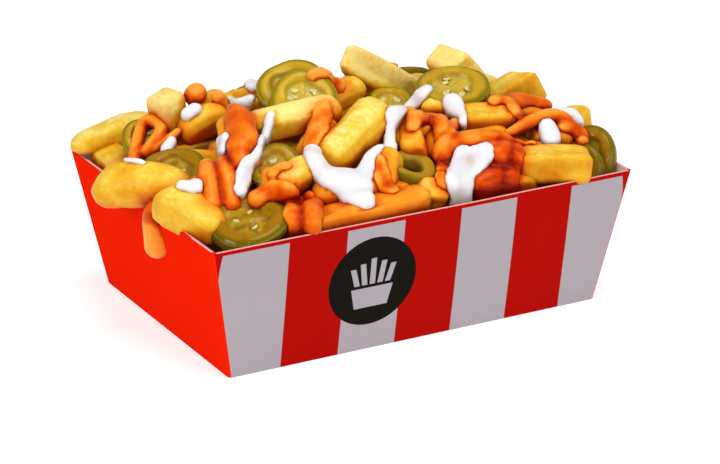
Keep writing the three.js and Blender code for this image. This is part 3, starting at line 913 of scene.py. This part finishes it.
def make_slice(name, blank, row, seed):
    """One slice of pickled pepper, with a few seeds sunk in its chambers."""
    x, y, z, compass, height, diameter, thickness, turn, pale, opening, bend = row
    draw = random.Random(seed)
    piece = blank.copy()
    piece.data = blank.data.copy()
    bpy.context.scene.collection.objects.link(piece)
    ribs = [draw.uniform(-0.3, 0.3) + k * 2 * math.pi / 3 for k in range(3)]
    points = vertices_of(piece)
    local, from_middle, chamber = shape_slice(points, row, seed, ribs)
    local[:, 2] += wobble(local, seed, diameter * 0.4, 0.25)
    local[:, 2] += saddle(local[:, 0], local[:, 1], diameter, bend)
    to_place = np.array(slice_frame(compass, height, turn))
    middle = np.array([x, y, z])
    set_vertices(piece, (local @ to_place.T + middle) * MM)
    set_attribute(piece, "from_middle", from_middle)
    set_attribute(piece, "chamber", chamber)
    set_attribute(piece, "pale", np.full(len(points), pale))
    piece.data.materials.append(PEPPER)
    apply_modifier(piece, "SUBSURF", levels=1, render_levels=1)
    parts = [piece]
    for k in range(round(3 + 5 * pale) if opening < 0.9 else 0):
        rib = ribs[k % 3] + draw.uniform(0.5, 1.5)
        reach = diameter / 2 * draw.uniform(0.26, 0.46)
        seed_place = Vector((reach * math.cos(rib), reach * math.sin(rib), thickness * 0.14))
        seed_place.z += saddle(seed_place.x, seed_place.y, diameter, bend)
        deselect()
        bpy.ops.mesh.primitive_ico_sphere_add(subdivisions=2, radius=1)
        grain = bpy.context.object
        own = vertices_of(grain) * (1.5, 1.15, 0.45)
        own[:, 2] += 0.12 * own[:, 0] ** 2
        tilt = Matrix.Rotation(draw.uniform(0, 6.3), 3, "Z")
        tilt = tilt @ Matrix.Rotation(draw.uniform(-0.5, 0.5), 3, "X")
        own = own @ np.array(tilt).T + np.array(seed_place)
        set_vertices(grain, (own @ to_place.T + middle) * MM)
        grain.data.materials.append(SEED)
        parts.append(grain)
    piece = join(parts, name + "_slice")
    smooth_shading(piece)
    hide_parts(name)
    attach(piece, "root")
    return piece


# ---------------------------------------------------------------- materials
def add_node(tree, kind, inputs=(), output=0, stops=(), **settings):
    """A node with its settings and links, given back as one of its outputs.

    An input takes a value, a hex colour or another node's output. The stops are a colour
    ramp's places, each with its hex colour.
    """
    made = tree.nodes.new("ShaderNode" + kind)
    for key, value in settings.items():
        setattr(made, key, value)
    for key, value in inputs.items() if isinstance(inputs, dict) else enumerate(inputs):
        if isinstance(value, bpy.types.NodeSocket):
            tree.links.new(value, made.inputs[key])
        else:
            made.inputs[key].default_value = linear(value) if isinstance(value, str) else value
    elements = made.color_ramp.elements if stops else ()
    while len(elements) < len(stops):
        elements.new(0.5)
    for element, (place, hex_code) in zip(elements, stops):
        element.position, element.color = place, linear(hex_code)
    return made.outputs[output] if len(made.outputs) else None


def new_material(name):
    """An empty material, and the function that adds a node to it."""
    material = bpy.data.materials.new(name)
    material.use_nodes = True
    material.node_tree.nodes.clear()
    return material, partial(add_node, material.node_tree)


def per_metre(size):
    """How often a pattern of this size, in millimetres, repeats in a metre."""
    return 1 / (size * MM)


def weighted(add, total, *pairs):
    """A first value plus several others, each times its weight."""
    for value, weight in pairs:
        total = add("Math", [value, weight, total], operation="MULTIPLY_ADD")
    return total


def layered(add, colour, *layers):
    """A colour with others laid over it in turn, each given with how much it covers."""
    for share, over in layers:
        inputs = {"Factor": share, "A": colour, "B": over}
        colour = add("Mix", inputs, "Result", data_type="RGBA")
    return colour


def all_of(add, *tests):
    """1 where each test on a pair of values holds, and 0 elsewhere."""
    passed = 1.0
    for operation, a, b in tests:
        held = add("Math", [a, b], operation=operation)
        passed = add("Math", [passed, held], operation="MULTIPLY")
    return passed


def mottled(add, colour, other, patch):
    """A faint mottle of two colours, in patches of this size in millimetres."""
    coords = add("TexCoord", output="Object")
    inputs = {"Vector": coords, "Scale": per_metre(patch), "Detail": 2.0}
    return layered(add, colour, (add("TexNoise", inputs), other))


# How the colour of fried potato ripens and is painted deeper as shade, and how the
# sauce's glaze on it is painted deeper as shade.
FRIED_TONES = [
    (0.0, "#f6e084"), (0.14, "#ebc84c"), (0.32, "#e3b02a"), (0.55, "#db9414"),
    (0.8, "#ca6a06"), (1.0, "#a24200"),
]
GLAZE_TONES = [(0.0, "#ee8a1c"), (0.4, "#d8600a"), (1.0, "#9c2800")]


def fried_potato():
    """Fried potato: a dry, lightly oiled crust, blistered by the hot fat.

    Its colour is painted creamy gold, as light, where it stands free and high on the
    heap, and deep orange, as shade, in the gaps and where it faces away from the light.
    It is stained orange beside sauce, and brown at its crisp edges and ends.
    """
    material, add = new_material("fried potato")
    coords = add("TexCoord", output="Object")
    crisp, tone, shade, crevice, sauced = (
        add("Attribute", output="Fac", attribute_name=name)
        for name in ("crisp", "tone", "shade", "crevice", "sauced")
    )
    # unevenly fried patches, the crust's grain and its blisters
    cloud = add("TexNoise", {"Vector": coords, "Scale": per_metre(8.333), "Detail": 3.0})
    grain = add("TexNoise", {"Vector": coords, "Scale": per_metre(1.613), "Detail": 4.0})
    inputs = {"Vector": coords, "Scale": per_metre(2.381)}
    blister = add("TexVoronoi", inputs, feature="SMOOTH_F1")
    # ripeness, with painted shade: deeper where the fry faces away from the light and in gaps
    ripeness = weighted(
        add, -0.46, (shade, 0.4), (crevice, 0.8), (cloud, 0.8), (tone, 0.4), (grain, 0.3),
    )
    brown = weighted(add, 0.0, (crisp, weighted(add, -0.15, (grain, 0.9))))
    stain = weighted(add, 0.0, (sauced, weighted(add, 0.3, (cloud, 0.9))))
    limits = {"Value": stain, "From Min": 0.1, "From Max": 0.8}
    stained = add("MapRange", limits, interpolation_type="SMOOTHSTEP")
    # the glaze is painted deeper as shade in gaps and where it faces away from the light
    glaze = weighted(add, -0.2, (crevice, 1.0), (shade, 0.5), (grain, 0.3))
    colour = layered(
        add, add("ValToRGB", [ripeness], stops=FRIED_TONES),
        (brown, "#cf8218"), (stained, add("ValToRGB", [glaze], stops=GLAZE_TONES)),
    )
    relief = weighted(add, 0.0, (grain, 0.5), (blister, 0.5))
    bump = add("Bump", {"Height": relief, "Strength": 0.5, "Distance": 0.5 * MM})
    shader = add("BsdfPrincipled", {
        "Base Color": colour, "Roughness": 0.4, "IOR": 1.45, "Normal": bump,
        "Specular IOR Level": 0.15, "Specular Tint": "#ffc45a",
        "Subsurface Weight": 0.3, "Subsurface Radius": (0.004, 0.002, 0.0005),
        "Subsurface Scale": 1.0, "Coat Weight": 0.08, "Coat Roughness": 0.2,
    })
    add("OutputMaterial", {"Surface": shader})
    return material


def paperboard(name, colour_of, roughness, gloss=0.04):
    """Coated paperboard: a soft sheen, broken by fine paper grain and shallow dents."""
    material, add = new_material(name)
    coords = add("TexCoord", output="Object")
    # paper grain is too fine to show, so it is drawn as coarse as 0.7 mm
    grain = add("TexNoise", {"Vector": coords, "Scale": per_metre(0.7143), "Detail": 3.0})
    dents = add("TexNoise", {"Vector": coords, "Scale": per_metre(29.41), "Detail": 1.0})
    relief = weighted(add, dents, (grain, 0.06))
    bump = add("Bump", {"Height": relief, "Strength": 0.25, "Distance": 0.5 * MM})
    shader = add("BsdfPrincipled", {
        "Base Color": colour_of(add), "Roughness": weighted(add, roughness - 0.05, (dents, 0.1)),
        "IOR": 1.5, "Normal": bump, "Specular IOR Level": gloss,
    })
    add("OutputMaterial", {"Surface": shader})
    return material


def stripe_shares(add, x, z):
    """How red the striped print is: the stripes, the corners and the line at the rim."""
    steps = weighted(add, -FIRST_STRIPE / STRIPE_WIDTH, (x, 1 / STRIPE_WIDTH))
    turn = add("Math", [add("Math", [steps], operation="FLOOR"), 1], operation="PINGPONG")
    stripe = all_of(
        add, ("GREATER_THAN", steps, 0), ("LESS_THAN", steps, STRIPE_COUNT),
        ("LESS_THAN", turn, 0.5),
    )
    climb = add("MapRange", {"Value": z, "From Min": WEDGE_FOOT, "From Max": TRAY_HEIGHT})
    flare = (RIM_HALF[0] - BASE_HALF[0]) / TRAY_HEIGHT
    wedge = add("Math", [climb, 2], operation="POWER")
    edge = weighted(add, BASE_HALF[0] - CORNER_RED, (z, flare), (wedge, -WEDGE_WIDTH))
    corner = all_of(add, ("GREATER_THAN", add("Math", [x], operation="ABSOLUTE"), edge))
    line = all_of(add, ("GREATER_THAN", z, RIM_LINE))
    share = add("Math", [stripe, corner], operation="MAXIMUM")
    return add("Math", [share, line], operation="MAXIMUM")


def badge_drawing(add, across, above):
    """The light marks of the badge: a fan of bars, with a cup below them."""
    marks = 0.0
    for k in range(-2, 3):
        off = weighted(add, -BAR_GAP * k, (above, -BAR_LEAN * k), (across, 1))
        bar = all_of(
            add, ("LESS_THAN", add("Math", [off], operation="ABSOLUTE"), BAR_HALF),
            ("LESS_THAN", above, BAR_TOP - abs(k) * BAR_STEP),
            ("GREATER_THAN", above, BAR_FOOT),
        )
        marks = add("Math", [marks, bar], operation="MAXIMUM")
    side = add("Math", [across], operation="ABSOLUTE")
    cup = all_of(
        add, ("LESS_THAN", side, weighted(add, CUP_HALF, (above, CUP_FLARE))),
        ("LESS_THAN", above, CUP_TOP), ("GREATER_THAN", above, CUP_FOOT),
    )
    return add("Math", [marks, cup], operation="MAXIMUM")


def striped_print(add):
    """Red and white upright stripes, a red line under the rim and a round badge, their red
    and white painted darker as the long walls' shade.
    """
    coords = add("TexCoord", output="Object")
    x, y, z = (
        weighted(add, 0.0, (add("SeparateXYZ", [coords], axis), 1 / MM)) for axis in "XYZ"
    )
    across = weighted(add, -BADGE_MIDDLE[0], (x, 1))
    above = weighted(add, -BADGE_MIDDLE[1], (z, 1))
    away_squared = weighted(add, 0.0, (across, across), (above, above))
    badge = all_of(add, ("LESS_THAN", away_squared, BADGE_RADIUS**2), ("LESS_THAN", y, 0))
    # painted shade: the white and the red are darker than the print, as the shade on the long walls
    white = mottled(add, "#a8a0a6", "#aea6ac", 16.67)
    red = mottled(add, STRIPE_RED, STRIPE_LOW, 16.67)
    printed = layered(add, "#15130f", (badge_drawing(add, across, above), white))
    return layered(add, white, (stripe_shares(add, x, z), red), (badge, printed))


def tray_boards():
    """The tray's four finishes: its stripes, its red ends, its inside and its cut edge.

    The print is flat and even, with next to no shine; on the long walls its red and
    white are painted darker, as shade. The inside is unprinted and faintly creamy. The cut
    edge is rougher, and its pink is partly the print and partly a painted highlight along
    the rim.
    """
    return (
        paperboard("printed paperboard, striped", striped_print, 0.48, 0.02),
        paperboard("printed paperboard, red", lambda add: mottled(add, RED, RED_LOW, 16.67), 0.48, 0.0),
        paperboard("white paperboard", lambda add: mottled(add, "#ece6dd", "#e4dccf", 11.11), 0.6),
        # the cut edge: pink, partly from the print and partly a painted highlight along the rim
        paperboard("cut paperboard edge", lambda add: mottled(add, "#e8b4b0", "#d88a86", 1.4286), 0.7),
    )


def pickled_pepper():
    """Pickled jalapeno: wet and softened by the brine, so that light goes into it.

    The skin is olive, the flesh a ring of golden green, and the chambers are glassy.
    In the gaps it is painted dark brown, as shade.
    """
    material, add = new_material("pickled jalapeno")
    coords = add("TexCoord", output="Object")
    far, chamber, pale, crevice = (
        add("Attribute", output="Fac", attribute_name=name)
        for name in ("from_middle", "chamber", "pale", "crevice")
    )
    # bruises and soft places, and the veins between the cells
    cloud = add("TexNoise", {"Vector": coords, "Scale": per_metre(3.846), "Detail": 4.0})
    veins = add("TexVoronoi", {"Vector": coords, "Scale": per_metre(1.111)})
    limits = {"Value": cloud, "From Min": 0.4, "From Max": 0.65}
    soft = add("MapRange", limits, interpolation_type="SMOOTHSTEP")
    near_skin = weighted(add, -0.04, (far, 1), (cloud, 0.08))
    limits = {"Value": near_skin, "From Min": 0.8, "From Max": 0.97}
    skin_share = add("MapRange", limits, interpolation_type="SMOOTHSTEP")
    light_flesh = layered(add, "#d8b830", (cloud, "#c09a14"))
    inner = layered(add, "#b08a0c", (soft, "#7c5602"), (pale, "#d6bc50"))
    skin = layered(add, "#6e5e04", (pale, "#94820e"))
    # the last layer is painted shade: dark brown in the gaps
    colour = layered(
        add, "#a07204", (cloud, "#865602"), (pale, light_flesh), (chamber, inner),
        (skin_share, skin), (weighted(add, 0.0, (crevice, 0.8)), "#5e3c02"),
    )
    relief = weighted(add, cloud, (veins, 0.3))
    bump = add("Bump", {"Height": relief, "Strength": 0.35, "Distance": 0.3 * MM})
    shader = add("BsdfPrincipled", {
        "Base Color": colour, "Roughness": 0.25, "IOR": 1.4, "Normal": bump,
        "Specular IOR Level": 0.12, "Specular Tint": "#e0c440",
        "Subsurface Weight": 0.3, "Subsurface Radius": (0.003, 0.0024, 0.0006),
        "Subsurface Scale": 1.0, "Coat Weight": 0.22, "Coat Roughness": 0.04,
    })
    add("OutputMaterial", {"Surface": shader})
    return material


def pepper_seed():
    """Pepper seed: pale, waxy and wet, so that it glints beside the flesh."""
    material, add = new_material("pepper seed")
    shader = add("BsdfPrincipled", {
        "Base Color": mottled(add, "#ded28a", "#c8b95f", 2.0), "Roughness": 0.35,
        "Subsurface Weight": 0.3, "Subsurface Radius": (0.002, 0.0015, 0.0006),
        "Subsurface Scale": 1.0, "Coat Weight": 0.6, "Coat Roughness": 0.08,
    })
    add("OutputMaterial", {"Surface": shader})
    return material


# The sauces' colours, from the painted highlight where they swell to the painted shade
# of their deepest folds.
ORANGE_TONES = [
    (0.0, "#f29c38"), (0.15, "#ea8018"), (0.35, "#dc5e06"), (0.6, "#c63e02"),
    (0.85, "#a42200"), (1.0, "#821000"),
]
CREAM_TONES = [(0.0, "#e2e2e6"), (0.4, "#d2cdcd"), (0.7, "#c8b0a0"), (1.0, "#c08a60")]


def food_sauce(name, tones, level, mottle, settling, gloss_tint):
    """Thick, fatty sauce with a soft wet gloss, painted paler where it swells as a highlight
    and deeper in its folds as shade.

    The level is how deep its colour is on the whole, the mottle how much that varies,
    and the low shade how much deeper its colour is painted at the rim than at the heap's
    top, as shade.
    """
    material, add = new_material(name)
    coords = add("TexCoord", output="Object")
    shade, crevice, ridge, deep = (
        add("Attribute", output="Fac", attribute_name=name)
        for name in ("shade", "crevice", "ridge", "deep")
    )
    sunk = weighted(add, 0.0, (add("SeparateXYZ", [coords], "Z"), -1))
    low, below = (
        add("MapRange", {"Value": sunk, "From Min": -start * MM, "From Max": -end * MM},
            interpolation_type="SMOOTHSTEP")
        for start, end in ((SAUCE_TOP, TRAY_HEIGHT), (TRAY_HEIGHT, SAUCE_DRIP))
    )
    # unevenly stirred patches, broad and small, and the grain of its surface
    drift = add("TexNoise", {"Vector": coords, "Scale": per_metre(20.833), "Detail": 1.0})
    cloud = add("TexNoise", {"Vector": coords, "Scale": per_metre(6.6667), "Detail": 3.0})
    grain = add("TexNoise", {"Vector": coords, "Scale": per_metre(2.0), "Detail": 3.0})
    # the colour's depth: painted shade where the sauce faces away from the light, in gaps, in the shaded
    # zones and low down by the rim; a painted highlight on its ridges; a drip outside the tray painted
    # light again; and stirred patches
    depth = weighted(
        add, level - mottle, (shade, 0.4), (crevice, 0.9), (ridge, -1.3), (deep, 0.32),
        (low, settling), (below, -DRIP_LIGHTENING * settling),
        (cloud, mottle), (drift, mottle),
    )
    relief = weighted(add, cloud, (grain, 0.25))
    bump = add("Bump", {"Height": relief, "Strength": 0.3, "Distance": 0.8 * MM})
    shader = add("BsdfPrincipled", {
        "Base Color": add("ValToRGB", [depth], stops=tones), "Roughness": 0.3, "IOR": 1.45,
        "Specular IOR Level": 0.16, "Specular Tint": gloss_tint, "Normal": bump,
        "Subsurface Weight": 0.3, "Subsurface Radius": (0.003, 0.0015, 0.0006),
        "Subsurface Scale": 1.0, "Coat Weight": 0.12, "Coat Roughness": 0.04,
    })
    add("OutputMaterial", {"Surface": shader})
    return material


def lit_floor():
    """Frosted white sheet, lit a little from below so that it stays white near the tray."""
    material, add = new_material("frosted white sheet")
    shader = add("BsdfPrincipled", {
        "Base Color": "#bcbcbc", "Roughness": 0.9, "Specular IOR Level": 0.1,
        "Emission Color": "#ffffff", "Emission Strength": 0.66,
    })
    add("OutputMaterial", {"Surface": shader})
    return material


# ---------------------------------------------------------------- sauces
def sauce_axes():
    """The grid's two directions, and the slanting one that the sauces are laid along."""
    azimuth, elevation = (math.radians(a) for a in SAUCE_VIEW)
    out = np.array([
        math.sin(azimuth) * math.cos(elevation),
        -math.cos(azimuth) * math.cos(elevation),
        math.sin(elevation),
    ])
    right = np.array([math.cos(azimuth), math.sin(azimuth), 0.0])
    return right, np.cross(out, right), out


def surface_tree(pieces):
    """One search tree over the faces of several pieces, in millimetres."""
    points, faces, first = [], [], 0
    for piece in pieces:
        own = vertices_of(piece) / MM
        points.extend(map(tuple, own))
        faces.extend([tuple(v + first for v in face.vertices) for face in piece.data.polygons])
        first += len(own)
    return BVHTree.FromPolygons(points, faces)


def height_grid(pieces):
    """How high the food stands along the slanting direction, over an even grid."""
    right, up, out = sauce_axes()
    tree = surface_tree(pieces)
    us, vs = (np.arange(*span, SAUCE_STEP) for span in GRID_SPAN)
    heights = np.full((len(us), len(vs)), NO_FOOD)
    ray = Vector(-out)
    for i, u in enumerate(us):
        for j, v in enumerate(vs):
            origin = right * u + up * v + out * RAY_START
            place, _, _, distance = tree.ray_cast(origin, ray)
            if place is not None:
                heights[i, j] = RAY_START - distance
    return us, vs, heights


def shifted(grid, i, j, empty):
    """The grid moved by whole cells, with the empty value where nothing moves in."""
    moved = np.full_like(grid, empty)
    a, b = grid.shape
    moved[max(i, 0) : a + min(i, 0), max(j, 0) : b + min(j, 0)] = grid[
        max(-i, 0) : a + min(-i, 0), max(-j, 0) : b + min(-j, 0)
    ]
    return moved


def ball_offsets(radius):
    """The grid cells under a ball, each with how far the ball rises over it."""
    reach = int(radius / SAUCE_STEP)
    for i in range(-reach, reach + 1):
        for j in range(-reach, reach + 1):
            rest = radius**2 - (i**2 + j**2) * SAUCE_STEP**2
            if rest >= 0:
                yield i, j, math.sqrt(rest)


def bridged(heights, radius):
    """The surface that a ball of this radius can roll on: narrow gaps are spanned."""
    raised = np.full_like(heights, -FAR)
    for i, j, rise in ball_offsets(radius):
        raised = np.maximum(raised, shifted(heights, i, j, -FAR) + rise)
    lowered = np.full_like(heights, FAR)
    for i, j, rise in ball_offsets(radius):
        lowered = np.minimum(lowered, shifted(raised, i, j, FAR) - rise)
    return lowered


def flowing(path):
    """The path's points joined by a smooth curve, with five points added in each gap."""
    points = np.array(path, float)
    ends = np.concatenate([2 * points[:1] - points[1:2], points, 2 * points[-1:] - points[-2:-1]])
    joined = [points[0]]
    for p0, p1, p2, p3 in zip(ends[:-3], ends[1:-2], ends[2:-1], ends[3:]):
        for t in np.arange(1, 7) / 6:
            joined.append(0.5 * (
                2 * p1 + (p2 - p0) * t + (2 * p0 - 5 * p1 + 4 * p2 - p3) * t**2
                + (3 * p1 - p0 - 3 * p2 + p3) * t**3
            ))
    return joined


def ribbon_thickness(us, vs, support, ribbons, unevenness):
    """How thick the sauce lies at each grid point, from the ribbons' paths and widths."""
    right, up, out = sauce_axes()
    grid_u, grid_v = np.meshgrid(us, vs, indexing="ij")
    points = np.stack([grid_u.ravel(), grid_v.ravel(), np.zeros(grid_u.size)], 1)
    uneven = sum(wobble(points, *wave) for wave in EDGE_WAVES)
    uneven = 1 + unevenness * uneven.reshape(grid_u.shape)
    thickness = np.zeros_like(support)
    for thick, path in ribbons:
        path = flowing(path)
        for a, b in zip(path[:-1], path[1:]):
            pa, pb = np.array(a[:3], float), np.array(b[:3], float)
            ua, va, ha = pa @ right, pa @ up, pa @ out
            ub, vb, hb = pb @ right, pb @ up, pb @ out
            span = (ub - ua) ** 2 + (vb - va) ** 2 + TINY
            t = (((grid_u - ua) * (ub - ua) + (grid_v - va) * (vb - va)) / span).clip(0, 1)
            away = np.hypot(grid_u - ua - t * (ub - ua), grid_v - va - t * (vb - va))
            width = (a[3] + t * (b[3] - a[3])) * uneven
            thin = np.minimum(thick, width / 2)
            # the coat spreads past the ribbon's edge later, so the ribbon is drawn narrower
            half = np.maximum(width / 2 - 0.6 * thin, 0.4)
            level = ha + t * (hb - ha)
            inside = (away < half) & (np.abs(support - level) < RIBBON_REACH)
            swell = np.sqrt((1 - (away / half) ** 2).clip(0, 1))
            dome = thin * (EDGE_SHARE + (1 - EDGE_SHARE) * swell)
            thickness = np.maximum(thickness, np.where(inside, dome, 0))
    return thickness


def coat(support, thickness):
    """The sauce's outside: every point of the surface below, thickened all round."""
    top = np.full_like(support, -FAR)
    for i, j, _ in ball_offsets(thickness.max()):
        flat = (i**2 + j**2) * SAUCE_STEP**2
        own = shifted(thickness, i, j, 0)
        rise = np.sqrt((own**2 - flat).clip(0))
        reached = (own > 0) & (own**2 >= flat)
        covered = np.maximum(top, shifted(support, i, j, -FAR) + rise)
        top = np.where(reached, covered, top)
    return top


def sheet_mesh(name, us, vs, top, bottom, mask):
    """A closed shell between the two height grids wherever the mask is set."""
    right, up, out = sauce_axes()
    # only the grid points of whole cells are used, and they are numbered in order
    number = -np.ones(mask.shape, int)
    cells = mask[:-1, :-1] & mask[1:, :-1] & mask[:-1, 1:] & mask[1:, 1:]
    used = np.zeros_like(mask)
    for i, j in ((0, 0), (1, 0), (0, 1), (1, 1)):
        used[i : used.shape[0] - 1 + i, j : used.shape[1] - 1 + j] |= cells
    number[used] = np.arange(used.sum())
    gi, gj = np.nonzero(used)
    flat = us[gi][:, None] * right + vs[gj][:, None] * up
    upper = flat + top[gi, gj][:, None] * out
    lower = flat + bottom[gi, gj][:, None] * out
    count = len(gi)
    # each cell has an upper and a lower face, and walls close the shell along its rims
    ci, cj = np.nonzero(cells)
    a, b = number[ci, cj], number[ci + 1, cj]
    c, d = number[ci + 1, cj + 1], number[ci, cj + 1]
    faces = np.concatenate([
        np.stack([a, b, c, d], 1),
        np.stack([d + count, c + count, b + count, a + count], 1),
    ])
    edges = np.concatenate([np.stack(e, 1) for e in ((a, b), (b, c), (c, d), (d, a))])
    keys = {(int(x), int(y)) for x, y in edges}
    rims = [(x, y) for x, y in keys if (y, x) not in keys]
    walls = [(y, x, x + count, y + count) for x, y in rims]
    mesh = bpy.data.meshes.new(name)
    mesh.from_pydata(
        (np.concatenate([upper, lower]) * MM).tolist(), [], faces.tolist() + walls
    )
    obj = bpy.data.objects.new(name, mesh)
    bpy.context.scene.collection.objects.link(obj)
    return obj


def make_strand(path):
    """A round cord of sauce through the points, with rounded ends."""
    curve = bpy.data.curves.new("strand", "CURVE")
    curve.dimensions = "3D"
    curve.bevel_depth = MM
    curve.bevel_resolution = 4
    curve.use_fill_caps = True
    curve.resolution_u = 8
    spline = curve.splines.new("NURBS")
    spline.points.add(len(path) - 1)
    for point, (x, y, z, radius) in zip(spline.points, path):
        point.co = (x * MM, y * MM, z * MM, 1)
        point.radius = radius
    spline.use_endpoint_u = True
    spline.order_u = 3
    strand = bpy.data.objects.new("strand", curve)
    bpy.context.scene.collection.objects.link(strand)
    select_only(strand)
    bpy.ops.object.convert(target="MESH")
    parts = [bpy.context.object]
    for x, y, z, radius in (path[0], path[-1]):
        deselect()
        bpy.ops.mesh.primitive_ico_sphere_add(
            subdivisions=3, radius=radius * MM, location=(x * MM, y * MM, z * MM)
        )
        parts.append(bpy.context.object)
    return join(parts, "strand")


def make_sauce(name, supports, ribbons, strands, bridge, unevenness):
    """One sauce: ribbons laid over the food and hanging strands, melted into one piece.

    It spans gaps that a ball with the bridge's radius can't enter, and the unevenness
    is how ragged its edges are.
    """
    us, vs, heights = height_grid(supports)
    support = bridged(heights, bridge)
    thickness = ribbon_thickness(us, vs, support, ribbons, unevenness)
    top = coat(support, thickness)
    bottom = np.maximum(np.minimum(heights, top) - SHEET_GRIP, top - SHEET_DEPTH)
    sheet = sheet_mesh(name, us, vs, top, bottom, top > heights + SHEET_LEAST)
    sauce = join([sheet] + [make_strand(path) for path in strands], name)
    apply_modifier(sauce, "REMESH", mode="VOXEL", voxel_size=SAUCE_VOXEL * MM)
    apply_modifier(sauce, "SMOOTH", factor=0.5, iterations=5)
    smooth_shading(sauce)
    return sauce


# ---------------------------------------------------------------- the pieces
fry_blank = make_fry_blank(cuts=10, segments=4)
fries = make_fries("fries", fry_blank, FRIES, seed=100)
hidden_rows = filler_fries(count=60, seed=5, depth=(7, 12))
lower = make_fries("fries_below", fry_blank, hidden_rows, seed=900)
bpy.data.objects.remove(fry_blank)
core = make_core()

tray = make_tray()
finish_tray(tray)
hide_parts("tray")
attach(tray, "root")

PEPPER, SEED = pickled_pepper(), pepper_seed()
slice_blank, ring_blank = make_slice_blank(), make_ring_blank()
slices = [
    make_slice(name, ring_blank if row[9] >= 1 else slice_blank, row, 40 + index)
    for index, (name, row) in enumerate(SLICES.items())
]
bpy.data.objects.remove(slice_blank)
bpy.data.objects.remove(ring_blank)

food = [fries, lower, core, *slices]
orange = make_sauce(
    "cheese_sauce", food, ORANGE_RIBBONS, ORANGE_STRANDS, bridge=4.0, unevenness=1.0,
)
cream = make_sauce(
    "soured_cream", [*food, orange], WHITE_RIBBONS, [], bridge=6.0, unevenness=0.4,
)
ORANGE_SAUCE = food_sauce(
    "chilli cheese sauce", ORANGE_TONES, level=0.96, mottle=0.6, settling=0.35,
    gloss_tint="#ff9040",
)
CREAM = food_sauce(
    "soured cream", CREAM_TONES, level=0.75, mottle=0.12, settling=0.0,
    gloss_tint="#e0e4f0",
)
for piece, material in ((orange, ORANGE_SAUCE), (cream, CREAM)):
    piece.data.materials.clear()
    piece.data.materials.append(material)
    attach(piece, "root")
whole_heap = surface_tree([*food, orange, cream, tray])
# the food's painted shade: in its gaps, and where it faces away from the light
for piece in (fries, orange, cream, *slices):
    paint_crevices(piece, whole_heap, rays=10)
for piece in (lower, core):
    paint_crevices(piece, whole_heap, rays=4)
# the sauces' painted highlight on ridges and shade in grooves, and the orange sauce's painted shade in its
# shaded zones
for piece, zones in ((orange, DEEP_SAUCE), (cream, [])):
    paint_ridges(piece)
    set_attribute(piece, "deep", inside_zones(vertices_of(piece) / MM, zones))
POTATO = fried_potato()
for piece in (fries, lower, core):
    paint_stains(piece, orange)
    piece.data.materials.append(POTATO)
    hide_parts("fries_heap")
    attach(piece, "root")

# ---------------------------------------------------------------- camera and light
AIM = Vector((4.4, 0, 21.6)) * MM
azimuth, elevation, distance = math.radians(-28.7), math.radians(21.64), 1.2528
back = Vector((
    math.sin(azimuth) * math.cos(elevation),
    -math.cos(azimuth) * math.cos(elevation),
    math.sin(elevation),
))
camera = bpy.data.objects.new("camera", bpy.data.cameras.new("camera"))
camera.data.lens = 175
camera.data.sensor_width = 36
camera.data.clip_start = 0.05
camera.data.clip_end = 50
camera.location = AIM + back * distance
camera.rotation_mode = "QUATERNION"
camera.rotation_quaternion = (-back).to_track_quat("-Z", "Y")
bpy.context.scene.collection.objects.link(camera)
bpy.context.scene.camera = camera

deselect()
bpy.ops.mesh.primitive_plane_add(size=8)
floor = bpy.context.object
floor.name = "floor"
floor.data.materials.append(lit_floor())

# Each light's name, its place and the size of its face in metres, and its power in watts.
LIGHTS = (
    ("key_light", (-1.1, -0.25, 0.65), (0.4, 0.4), 5.2),
    ("spark_light", (-0.7, -0.7, 1.0), (0.12, 0.12), 1.6),
    ("top_light", (0.1, -0.2, 1.4), (0.9, 0.7), 12),
    ("front_light", (0.4, -1.2, 0.7), (0.9, 0.6), 6),
)
HEAP_MIDDLE = Vector((0, 0, 0.04))
for name, place, size, power in LIGHTS:
    light = bpy.data.objects.new(name, bpy.data.lights.new(name, "AREA"))
    light.data.shape = "RECTANGLE"
    light.data.size, light.data.size_y = size
    light.data.energy = power
    light.location = place
    light.rotation_mode = "QUATERNION"
    light.rotation_quaternion = (HEAP_MIDDLE - Vector(place)).to_track_quat("-Z", "Y")
    bpy.context.scene.collection.objects.link(light)

world = bpy.data.worlds.new("studio")
bpy.context.scene.world = world
world.use_nodes = True
world.node_tree.nodes["Background"].inputs[0].default_value = (1, 1, 1, 1)
world.node_tree.nodes["Background"].inputs[1].default_value = 0.25
bpy.context.scene.view_settings.view_transform = "Standard"
